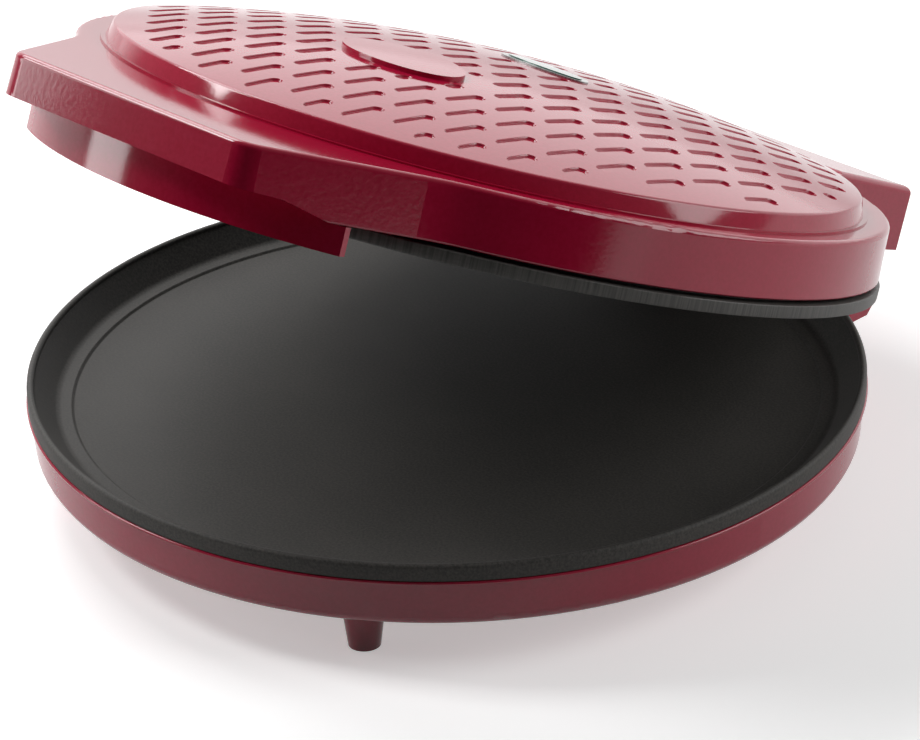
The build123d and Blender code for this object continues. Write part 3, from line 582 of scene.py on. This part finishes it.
    def tree(self, points: bpy.types.Object, tool: bpy.types.Object) -> bpy.types.NodeTree:
        """Build the tree that sets the tool on every point, stretches it, lays it on the dome and cuts.

        Args:
            points: one point for each slot, with half its straight length.
            tool: the tool of one slot.

        Returns:
            The geometry tree, with its sizes as named inputs.
        """
        inputs = {"Ball Radius": "Float", "Ball Middle": "Float", "Finish": "Material"}
        tree = new_tree("pressed_slots", inputs)
        given = add(tree, "NodeGroupInput").outputs
        spots = add(tree, "GeometryNodeObjectInfo", Object=points).outputs["Geometry"]
        block = add(tree, "GeometryNodeObjectInfo", Object=tool).outputs["Geometry"]
        laid = add(tree, "GeometryNodeInstanceOnPoints", Points=spots, Instance=block).outputs[0]
        real = add(tree, "GeometryNodeRealizeInstances", Geometry=laid).outputs[0]
        side = add(tree, "GeometryNodeInputNamedAttribute", NUMBERS, Name="side").outputs[0]
        half = add(tree, "GeometryNodeInputNamedAttribute", NUMBERS, Name="half").outputs[0]
        along = add(tree, MATH, TIMES, s0=side, s1=half).outputs[0]
        stretch = add(tree, "ShaderNodeCombineXYZ", Y=along).outputs[0]
        long = add(tree, "GeometryNodeSetPosition", Geometry=real, Offset=stretch).outputs[0]
        at = add(tree, "GeometryNodeInputPosition").outputs[0]
        flat = add(tree, VECTOR_MATH, TIMES, s0=at, s1=(1, 1, 0)).outputs[0]
        out = add(tree, VECTOR_MATH, DOT, s0=flat, s1=flat).outputs["Value"]
        radius, middle = given["Ball Radius"], given["Ball Middle"]
        ball = add(tree, MATH, TIMES, s0=radius, s1=radius).outputs[0]
        left = add(tree, MATH, {"operation": "SUBTRACT"}, s0=ball, s1=out).outputs[0]
        height = add(tree, MATH, {"operation": "SQRT"}, s0=left).outputs[0]
        lift = add(tree, MATH, {"operation": "ADD"}, s0=height, s1=middle).outputs[0]
        up = add(tree, "ShaderNodeCombineXYZ", Z=lift).outputs[0]
        seated = add(tree, "GeometryNodeSetPosition", Geometry=long, Offset=up).outputs[0]
        cut = add(tree, "GeometryNodeMeshBoolean", CUT, s0=given["Geometry"], s1=seated).outputs[0]
        whole = add(tree, "GeometryNodeRealizeInstances", Geometry=cut).outputs[0]
        dressed = add(tree, "GeometryNodeSetMaterial", Geometry=whole, Material=given["Finish"]).outputs[0]
        add(tree, "NodeGroupOutput", s0=dressed)
        return tree

    def build(self) -> bpy.types.Object:
        """Build the panel, cut its slots and set it in place on the lid.

        Returns:
            The finished panel.
        """
        ball, middle = self.dome()
        shell = mesh_object("panel_blank", turned_mesh("panel_blank", self.profile(), self.segments))
        spots = self.slot_points()
        cloud = bpy.data.meshes.new("slot_points")
        cloud.from_pydata([(x, y, 0.0) for x, y, _ in spots], [], [])
        cloud.attributes.new("half", "FLOAT", "POINT").data.foreach_set("value", [h for _, _, h in spots])
        points, tool = mesh_object("slot_points", cloud), mesh_object("slot_tool", self.cutter())
        values = {"Ball Radius": ball, "Ball Middle": middle, "Finish": self.finish}
        done = run_tree(shell, self.tree(points, tool), values)
        for scrap in (shell, points, tool):
            bpy.data.objects.remove(scrap)
        self.add_posts(done)
        done.transform(self.pose.matrix())
        done.update()
        panel = mesh_object("slotted_panel", done)
        self.smooth(done)
        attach(panel, "lid")
        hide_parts("lid_panel")
        LOG.info("slotted_panel: %d slots, %d faces", len(spots), len(done.polygons))
        return panel

    def add_posts(self, mesh: bpy.types.Mesh) -> None:
        """Add the four posts that hang from the panel's underside to the ring below.

        Args:
            mesh: the panel's mesh, in closed millimetres.
        """
        ball, middle = self.dome()
        top = middle + math.sqrt((ball - self.wall) ** 2 - self.post_circle**2) + self.wall / 2
        turns = [math.radians(angle) for angle in self.post_angles]
        spots = [(self.post_circle * math.cos(turn), self.post_circle * math.sin(turn)) for turn in turns]
        add_pegs(mesh, spots, self.post_radius, self.post_foot, top)

    def smooth(self, mesh: bpy.types.Mesh) -> None:
        """Give the dome its true normals, so that the cuts leave no ripple in what it mirrors.

        Args:
            mesh: the panel's mesh, in the row frame.
        """
        ball, middle = self.dome()
        core = self.pose.matrix() @ Vector((0.0, 0.0, middle))
        smooth_by_angle(mesh, self.sharp_angle)
        normals = [corner.vector.copy() for corner in mesh.corner_normals]
        for face in mesh.polygons:
            ways = [mesh.vertices[index].co - core for index in face.vertices]
            if all(abs(way.length - ball * MM) < self.on_dome * MM for way in ways):
                for corner, way in zip(face.loop_indices, ways):
                    normals[corner] = way.normalized()
        mesh.normals_split_custom_set(normals)


@dataclass
class Plate:
    """What both heated plates share: where they lie, their coat and the three bosses for their screws."""

    place: Matrix
    finish: bpy.types.Material
    boss_radius: float = 4.5
    boss_sink: float = 1.0
    segments: int = 360
    rings: int = 6
    corner_steps: int = 3
    sharp_angle: float = 30.0

    def turn(self, name: str, profile: list[Flat], screws: str, low: float, high: float) -> bpy.types.Object:
        """Turn a plate, add a boss over each of its screws and set it in place.

        Args:
            name: the plate's name.
            profile: its outline, in closed millimetres.
            screws: what the names of its three screws start with.
            low: where the bosses start.
            high: where they end.

        Returns:
            The plate, not yet tied to its body.
        """
        mesh = turned_mesh(name, profile, self.segments)
        bosses = [closed_middle(f"{screws}_{k}", self.place) for k in (1, 2, 3)]
        add_pegs(mesh, bosses, self.boss_radius, low, high)
        mesh.transform(self.place)
        mesh.materials.append(self.finish)
        smooth_by_angle(mesh, self.sharp_angle)
        return mesh_object(name, mesh)


@dataclass
class PizzaPan(Plate):
    """The lower plate: a coated pan with a low hearth step, a sloped wall, a rounded rim and three bosses."""

    radius: float = 165.0
    rim_height: float = 47.0
    rim_width: float = 3.0
    rim_steps: int = 12
    rim_foot: float = 40.3
    rim_foot_round: float = 0.4
    rim_inner: float = 161.4
    slope_foot: float = 153.5
    slope_round: float = 4.0
    slope_steps: int = 8
    floor: float = 36.0
    hearth_radius: float = 147.0
    hearth_drop: float = 1.0
    hearth_round: float = 0.8
    base_radius: float = 153.1
    bottom: float = 31.0
    boss_foot: float = 22.8

    def profile(self) -> list[Flat]:
        """Draw the pan's outline from the hearth over the rim to the underside.

        Returns:
            Radius and height of each point.
        """
        bead = self.rim_width / 2
        top = Vector((self.radius - self.rim_width, self.rim_height - bead))
        foot = Vector((self.slope_foot, self.floor))
        step = Vector((self.hearth_radius + self.hearth_drop, self.floor))
        hearth = Vector((self.hearth_radius, self.floor - self.hearth_drop))
        middle = Vector((0.0, hearth.y))
        outside = Vector((self.radius, top.y))
        corner = Vector((self.radius, self.rim_foot))
        inward = Vector((0, self.rim_foot))
        turns = [math.pi * (1 - k / self.rim_steps) for k in range(1, self.rim_steps + 1)]
        return [
            (0.0, hearth.y),
            *((self.hearth_radius * k / self.rings, hearth.y) for k in range(1, self.rings)),
            *rounded(hearth, middle, step, self.hearth_round, self.corner_steps),
            *rounded(step, hearth, foot, self.hearth_round, self.corner_steps),
            *rounded(foot, step, top, self.slope_round, self.slope_steps),
            tuple(top),
            *((self.radius - bead + bead * math.cos(a), top.y + bead * math.sin(a)) for a in turns),
            *rounded(corner, outside, inward, self.rim_foot_round, self.corner_steps),
            (self.rim_inner, self.rim_foot),
            (self.base_radius, self.bottom),
            (0.0, self.bottom),
        ]

    def build(self) -> bpy.types.Object:
        """Turn the pan and set it in the base.

        Returns:
            The finished pan.
        """
        high = self.bottom + self.boss_sink
        pan = self.turn("pizza_pan", self.profile(), "pan_screw", self.boss_foot, high)
        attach(pan, "base")
        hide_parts("lower_plate")
        LOG.info("pizza_pan: %d faces", len(pan.data.polygons))
        return pan


@dataclass
class UpperPlate(Plate):
    """The upper plate: a coated disc with a raised ring that meets the pan, and three bosses above."""

    radius: float = 163.5
    low: float = 47.4
    ring_width: float = 6.0
    recess: float = 2.0
    recess_round: float = 0.8
    wall_top: float = 52.4
    shoulder_round: float = 0.5
    edge_round: float = 0.7
    edge_steps: int = 4
    body_radius: float = 157.0
    body_top: float = 53.8
    boss_top: float = 66.6

    def profile(self) -> list[Flat]:
        """Draw the plate's outline from the middle of its back over the ring to the middle of its face.

        Returns:
            Radius and height of each point.
        """
        shoulder = Vector((self.radius, self.wall_top))
        inward = Vector((self.body_radius, self.wall_top))
        edge = Vector((self.radius, self.low))
        ring = Vector((self.radius - self.ring_width, self.low))
        face = Vector((ring.x - self.recess, self.low + self.recess))
        middle = Vector((0.0, face.y))
        return [
            (0.0, self.body_top),
            (self.body_radius, self.body_top),
            tuple(inward),
            *rounded(shoulder, inward, edge, self.shoulder_round, self.corner_steps),
            *rounded(edge, shoulder, ring, self.edge_round, self.edge_steps),
            *rounded(ring, edge, face, self.recess_round, self.corner_steps),
            *rounded(face, ring, middle, self.recess_round, self.corner_steps),
            *((face.x * k / self.rings, face.y) for k in range(self.rings - 1, 0, -1)),
            (0.0, face.y),
        ]

    def build(self) -> bpy.types.Object:
        """Turn the plate and set it in the lid.

        Returns:
            The finished plate.
        """
        low = self.body_top - self.boss_sink
        plate = self.turn("upper_pizza_plate", self.profile(), "plate_screw", low, self.boss_top)
        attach(plate, "lid")
        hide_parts("upper_plate")
        LOG.info("upper_pizza_plate: %d faces", len(plate.data.polygons))
        return plate


@dataclass
class CasingBead:
    """The rolled top edge of the casing, which shows as a bright line below the pan's rim."""

    place: Matrix
    finish: bpy.types.Material
    ring_radius: float = 164.7
    bead_radius: float = 0.75
    level: float = 39.35
    around: int = 360
    across: int = 12

    def build(self) -> bpy.types.Object:
        """Roll the bead round the casing.

        Returns:
            The finished bead.
        """
        points, faces = [], []
        for k in range(self.around):
            turn = 2 * math.pi * k / self.around
            for j in range(self.across):
                roll = 2 * math.pi * j / self.across
                radius = self.ring_radius + self.bead_radius * math.cos(roll)
                height = self.level + self.bead_radius * math.sin(roll)
                points.append((radius * math.cos(turn), radius * math.sin(turn), height))
                a, b = k * self.across, (k + 1) % self.around * self.across
                n = (j + 1) % self.across
                faces.append((a + j, b + j, b + n, a + n))
        mesh = bpy.data.meshes.new("casing_bead")
        mesh.from_pydata(points, [], faces)
        mesh.transform(self.place)
        mesh.materials.append(self.finish)
        mesh.shade_smooth()
        bead = mesh_object("casing_bead", mesh)
        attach(bead, "base")
        LOG.info("casing_bead: %d faces", len(faces))
        return bead


@dataclass
class CrossScrews:
    """A set of equal screws with rounded heads and cross recesses, all with their heads to one side."""

    name: str
    body: str
    nodes: tuple[str, ...]
    place: Matrix
    finish: bpy.types.Material
    heads_up: bool = False
    head_height: float = 2.2
    crown_share: float = 0.35
    crown_steps: int = 5
    shank_share: float = 0.5
    tip_bevel: float = 0.3
    sides: int = 28
    recess_share: float = 0.62
    recess_width: float = 1.0
    recess_depth: float = 1.1
    recess_taper: float = 0.55
    tool_reach: float = 0.4
    sharp_angle: float = 35.0

    def measure(self) -> tuple[list[Spot], float, float]:
        """Measure the plain screws that the set takes the place of.

        Returns:
            The outer middle point of each head in closed millimetres, the head's radius and the whole length.
        """
        back = self.place.inverted()
        found = []
        for node in self.nodes:
            corners = [back @ vertex.co for vertex in bpy.data.objects[node].data.vertices]
            low = [min(c[i] for c in corners) for i in range(3)]
            high = [max(c[i] for c in corners) for i in range(3)]
            head = high[2] if self.heads_up else low[2]
            found.append(((low[0] + high[0]) / 2, (low[1] + high[1]) / 2, head))
        return found, (high[0] - low[0]) / 2, high[2] - low[2]

    def blank(self, radius: float, length: float) -> bpy.types.Mesh:
        """Turn one screw: a head with a rounded rim below, and its shank above.

        Args:
            radius: the head's radius.
            length: the whole length.

        Returns:
            The screw, standing on its head at the origin.
        """
        crown = self.crown_share * self.head_height
        arc = [math.radians(90 * k / self.crown_steps) for k in range(self.crown_steps + 1)]
        shank = radius * self.shank_share
        profile = [
            (0.0, length),
            (shank - self.tip_bevel, length),
            (shank, length - self.tip_bevel),
            (shank, self.head_height),
            (radius, self.head_height),
            *((radius - crown + crown * math.cos(a), crown - crown * math.sin(a)) for a in arc),
            (0.0, 0.0),
        ]
        return turned_mesh(f"{self.name}_blank", profile, self.sides)

    def cross(self, radius: float) -> bpy.types.Mesh:
        """Build the tool that presses the cross: four tapered arms in one closed block.

        Args:
            radius: the head's radius.

        Returns:
            The tool, reaching into the head from below.
        """
        half, reach = self.recess_width / 2, radius * self.recess_share
        ring = []
        for k in range(4):
            turn = Matrix.Rotation(math.radians(90 * k), 2)
            ring += [turn @ Vector(p) for p in ((reach, -half), (reach, half), (half, half))]
        points = [(p.x, p.y, -self.tool_reach) for p in ring]
        points += [(p.x * self.recess_taper, p.y * self.recess_taper, self.recess_depth) for p in ring]
        count = len(ring)
        faces = [(k, (k + 1) % count, count + (k + 1) % count, count + k) for k in range(count)]
        faces += [tuple(reversed(range(count))), tuple(range(count, 2 * count))]
        mesh = bpy.data.meshes.new(f"{self.name}_cross")
        mesh.from_pydata(points, [], faces)
        return mesh

    def tree(self, blank: bpy.types.Object, cross: bpy.types.Object) -> bpy.types.NodeTree:
        """Build the tree that cuts the cross into one screw and sets it on every point.

        Args:
            blank: the turned screw.
            cross: the tool of its recess.

        Returns:
            The geometry tree.
        """
        tree = new_tree(self.name, {"Size": "Float", "Finish": "Material"})
        given = add(tree, "NodeGroupInput").outputs
        turned = add(tree, "GeometryNodeObjectInfo", Object=blank).outputs["Geometry"]
        tool = add(tree, "GeometryNodeObjectInfo", Object=cross).outputs["Geometry"]
        cut = add(tree, "GeometryNodeMeshBoolean", CUT, s0=turned, s1=tool).outputs[0]
        laid = add(
            tree, "GeometryNodeInstanceOnPoints", Points=given["Geometry"], Instance=cut, Scale=given["Size"]
        ).outputs[0]
        real = add(tree, "GeometryNodeRealizeInstances", Geometry=laid).outputs[0]
        dressed = add(tree, "GeometryNodeSetMaterial", Geometry=real, Material=given["Finish"]).outputs[0]
        add(tree, "NodeGroupOutput", s0=dressed)
        return tree

    def build(self) -> bpy.types.Object:
        """Build the set and put it in the place of the frame's plain screws.

        Returns:
            The finished screws as one piece.
        """
        spots, radius, length = self.measure()
        cloud = bpy.data.meshes.new(self.name)
        cloud.from_pydata(spots, [], [])
        points = mesh_object(f"{self.name}_points", cloud)
        blank = mesh_object(f"{self.name}_blank", self.blank(radius, length))
        cross = mesh_object(f"{self.name}_cross", self.cross(radius))
        if self.heads_up:
            for thing in (blank, cross):
                thing.data.transform(Matrix.Rotation(math.pi, 4, "X"))
        done = run_tree(points, self.tree(blank, cross), {"Size": 1.0, "Finish": self.finish})
        for scrap in (points, blank, cross):
            bpy.data.objects.remove(scrap)
        done.transform(self.place)
        smooth_by_angle(done, self.sharp_angle)
        screws = mesh_object(self.name, done)
        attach(screws, self.body)
        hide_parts(*self.nodes)
        LOG.info("%s: %d screws, %d faces", self.name, len(spots), len(done.polygons))
        return screws


@dataclass(frozen=True)
class Dressing:
    """Which finish each piece of the frame gets, by the record's material slot."""

    finishes: dict[str, Finish]
    odd_ones: dict[str, Finish]

    def dress(self, nodes: dict[str, bpy.types.Object], slots: dict[str, str]) -> None:
        """Give every piece its finish.

        Args:
            nodes: the frame's pieces by name.
            slots: the material slot of each piece.
        """
        built: dict[str, bpy.types.Material] = {}
        for name, piece in nodes.items():
            finish = self.odd_ones.get(name) or self.finishes[slots[name]]
            if finish.name not in built:
                built[finish.name] = finish.build()
            for holder in piece.material_slots:
                holder.material = built[finish.name]
            LOG.info("%s: %s", name, finish.name)


@dataclass(frozen=True)
class Lamp:
    """One soft box: where it stands, what it faces, how large and how bright it is."""

    name: str
    place: Spot
    aim: Spot
    width: float
    height: float
    watts: float

    def build(self) -> None:
        """Hang the lamp, out of the camera's sight."""
        light = bpy.data.lights.new(self.name, "AREA")
        light.shape = "RECTANGLE"
        light.size, light.size_y = self.width, self.height
        light.energy = self.watts
        lamp = bpy.data.objects.new(self.name, light)
        lamp.location = self.place
        way = Vector(self.aim) - Vector(self.place)
        lamp.rotation_euler = way.to_track_quat("-Z", "Y").to_euler()
        lamp.visible_camera = False
        bpy.context.scene.collection.objects.link(lamp)


@dataclass(frozen=True)
class PhotoCamera:
    """The photograph's camera, fitted to its edges: degrees and metres, and pixels within the picture."""

    azimuth: float = 44.7941
    height: float = 26.9138
    roll: float = -1.1509
    distance: float = 1.772157
    aim_mm: Spot = (9.668, -13.111, 41.83)
    focal_length: float = 4500.0
    optical_middle: Flat = (477.232, 373.266)
    picture: Flat = (920.0, 740.0)
    sensor_mm: float = 36.0
    far_end: float = 50.0

    def build(self) -> None:
        """Stand the camera where the photograph was taken from."""
        azimuth, height, roll = (math.radians(v) for v in (self.azimuth, self.height, self.roll))
        out, up = math.cos(height), math.sin(height)
        back = Vector((math.sin(azimuth) * out, -math.cos(azimuth) * out, up))
        side = Vector((math.cos(azimuth), math.sin(azimuth), 0.0))
        top = back.cross(side)
        right = math.cos(roll) * side + math.sin(roll) * top
        above = -math.sin(roll) * side + math.cos(roll) * top
        spot = Vector(self.aim_mm) * MM + back * self.distance
        wide, tall = self.picture
        lens = bpy.data.cameras.new("camera")
        lens.sensor_width = self.sensor_mm
        lens.lens = self.focal_length / wide * self.sensor_mm
        lens.shift_x = (wide / 2 - self.optical_middle[0]) / wide
        lens.shift_y = (self.optical_middle[1] - tall / 2) / wide
        lens.clip_end = self.far_end
        camera = bpy.data.objects.new("camera", lens)
        rows = [(right[i], above[i], back[i], spot[i]) for i in range(3)]
        camera.matrix_world = Matrix([*rows, (0.0, 0.0, 0.0, 1.0)])
        bpy.context.scene.collection.objects.link(camera)
        bpy.context.scene.camera = camera


@dataclass
class Studio:
    """A pale floor, a white surround that is dark on the side of the camera, soft boxes and the camera."""

    floor_half: float = 9.0
    floor_colour: str = "aaa9a8"
    seen_colour: str = "f4f4f4"
    mirrored_colour: str = "dcdcdc"
    own_glow: float = 0.42
    mirrored_glow: float = 0.4
    far_glow: float = 1.15
    seen_rise: Flat = (0.6, 2.4)
    mirrored_rise: Flat = (1.1, 2.2)
    room_share: float = 0.3
    mirrored_share: float = 1.75
    dark_way: Spot = (0.45, -0.893, 0.0)
    room_tones: tuple[Flat, ...] = ((0.2, 1.0), (0.3, 0.24), (0.66, 0.09), (0.84, 0.005))
    lamps: tuple[Lamp, ...] = (
        Lamp("key_box", (-1.0, 0.16, 1.25), (0.0, 0.0, 0.05), 0.7, 0.7, 12.0),
        Lamp("left_strip", (-1.232, -1.02, 0.42), (0.0, -0.1, 0.06), 0.44, 0.8, 6.0),
        Lamp("front_box", (-1.15, -0.75, 1.3), (0.0, -0.1, 0.05), 0.5, 0.5, 13.0),
        Lamp("right_box", (1.15, 0.8, 0.8), (0.1, 0.0, 0.05), 0.9, 0.9, 12.0),
    )
    camera: PhotoCamera = PhotoCamera()

    def build(self) -> None:
        """Set up the floor, the surround, the lamps and the camera."""
        bpy.context.scene.view_settings.view_transform = "Standard"
        self.floor()
        self.surround()
        for lamp in self.lamps:
            lamp.build()
        self.camera.build()
        LOG.info("studio: %d lamps", len(self.lamps))

    def floor(self) -> None:
        """Lay the pale floor."""
        work = bmesh.new()
        bmesh.ops.create_grid(work, x_segments=2, y_segments=2, size=self.floor_half)
        mesh = bpy.data.meshes.new("floor")
        work.to_mesh(mesh)
        work.free()
        floor = mesh_object("floor", mesh)
        mesh.materials.append(self.paper())

    def paper(self) -> bpy.types.Material:
        """Build the floor's paper: plain grey where it lights the object, pale where it is seen or mirrored.

        Returns:
            The material, which glows more with distance, to a little over white.
        """
        paper = bpy.data.materials.new("pale_paper")
        paper.use_nodes = True
        tree = paper.node_tree
        tree.nodes.clear()
        rays = add(tree, "ShaderNodeLightPath").outputs
        glossy = rays["Is Glossy Ray"]
        seen = add(tree, MATH, LARGER, s0=rays["Is Camera Ray"], s1=glossy).outputs[0]
        clear = add(tree, MATH, LARGER, s0=seen, s1=rays["Is Transmission Ray"]).outputs[0]
        dull = add(tree, "ShaderNodeBsdfDiffuse", Color=linear(self.floor_colour)).outputs[0]
        pale, mirrored = linear(self.seen_colour), linear(self.mirrored_colour)
        tone = add(tree, MIX, COLOURS, s0=glossy, s6=pale, s7=mirrored).outputs[2]
        bright = add(tree, "ShaderNodeBsdfDiffuse", Color=tone).outputs[0]
        spot = add(tree, "ShaderNodeTexCoord").outputs["Object"]
        away = add(tree, VECTOR_MATH, {"operation": "LENGTH"}, s0=spot).outputs["Value"]
        glows = [
            add(
                tree,
                MAP_RANGE,
                Value=away,
                From_Min=rise[0],
                From_Max=rise[1],
                To_Min=glow,
                To_Max=self.far_glow,
            ).outputs[0]
            for rise, glow in ((self.seen_rise, self.own_glow), (self.mirrored_rise, self.mirrored_glow))
        ]
        own = add(tree, MIX, NUMBERS, s0=glossy, s2=glows[0], s3=glows[1]).outputs[0]
        glow = add(tree, "ShaderNodeEmission", Strength=own).outputs[0]
        lifted = add(tree, "ShaderNodeAddShader", s0=bright, s1=glow).outputs[0]
        look = add(tree, "ShaderNodeMixShader", s0=clear, s1=dull, s2=lifted).outputs[0]
        add(tree, "ShaderNodeOutputMaterial", Surface=look)
        return paper

    def surround(self) -> None:
        """Make the surround white where it is seen, brighter where mirrored and softer where it lights."""
        world = bpy.data.worlds.new("studio_surround")
        bpy.context.scene.world = world
        world.use_nodes = True
        tree = world.node_tree
        tree.nodes.clear()
        rays = add(tree, "ShaderNodeLightPath").outputs
        way = add(tree, "ShaderNodeTexCoord").outputs["Generated"]
        facing = add(tree, VECTOR_MATH, DOT, s0=way, s1=self.dark_way).outputs["Value"]
        place = add(tree, MAP_RANGE, Value=facing, From_Min=-1.0).outputs[0]
        tones = add(tree, "ShaderNodeValToRGB", Fac=place)
        stops = tones.color_ramp.elements
        while len(stops) < len(self.room_tones):
            stops.new(0.5)
        for stop, (spot, tone) in zip(stops, self.room_tones):
            stop.position, stop.color = spot, (tone, tone, tone, 1.0)
        direct, through, glossy = (rays[f"Is {kind} Ray"] for kind in ("Camera", "Transmission", "Glossy"))
        seen = add(tree, MATH, LARGER, s0=direct, s1=through).outputs[0]
        weak, strong = self.room_share, self.mirrored_share
        share = add(tree, MAP_RANGE, Value=glossy, To_Min=weak, To_Max=strong).outputs[0]
        room = add(tree, MATH, TIMES, s0=tones.outputs["Color"], s1=share).outputs[0]
        strength = add(tree, MIX, NUMBERS, s0=seen, s2=room, s3=1.0).outputs[0]
        light = add(tree, "ShaderNodeBackground", Color=(1.0, 1.0, 1.0, 1.0), Strength=strength)
        add(tree, "ShaderNodeOutputWorld", Surface=light.outputs[0])


DRESSING = Dressing(
    finishes={
        "red_plastic": GLOSS_RED,
        "nonstick_plate": NON_STICK,
        "black_sheet": BLACK_SHEET,
        "zinc_sheet": ZINC_SHEET,
        "element_steel": ELEMENT_TUBE,
        "plated_steel": PLATED_STEEL,
        "washer_plastic": WASHER,
        "block_plastic": BLOCK,
        "lead_sleeve": SLEEVE,
        "black_plastic": BLACK_PLASTIC,
        "label_film": LABEL,
        "red_plate": GLOSS_RED,
        "silver_plate": SILVER_PLATE,
        "green_plate": GREEN_PLATE,
        "foot_rubber": RUBBER,
    },
    odd_ones={"upper_plate": TURNED_RIM},
)


def main() -> None:
    """Build the looks piece by piece."""
    logging.basicConfig(level=logging.INFO, format="%(name)s %(message)s")
    for leftover in list(bpy.data.objects):
        bpy.data.objects.remove(leftover)
    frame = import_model()
    joint = frame["joints"][0]
    hinge = Vector(joint["pos_m"])
    low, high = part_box("lower_plate")
    pose = LidPose(-(low.y + high.y) / 2 / MM, hinge.y / MM, hinge.z / MM, -joint["range_deg"][0])
    base, lid = pose.flat(), pose.matrix()
    slots = {name: node.material_slots[0].material.name for name, node in frame["nodes"].items()}
    Studio().build()
    DRESSING.dress(frame["nodes"], slots)
    red, coat, rim, steel = (
        bpy.data.materials[finish.name] for finish in (GLOSS_RED, NON_STICK, TURNED_RIM, PLATED_STEEL)
    )
    SlottedPanel(pose, red).build()
    PizzaPan(base, coat).build()
    CasingBead(base, red).build()
    UpperPlate(lid, rim).build()
    for name, body, count, place, heads_up in (
        ("cover_screw", "base", 4, base, False),
        ("pan_screw", "base", 3, base, False),
        ("guard_screw", "lid", 2, lid, False),
        ("plate_screw", "lid", 3, lid, True),
        ("frame_screw", "lid", 4, lid, False),
    ):
        nodes = tuple(f"{name}_{k + 1}" for k in range(count))
        CrossScrews(f"{name}_set", body, nodes, place, steel, heads_up).build()


if __name__ == "__main__":
    main()
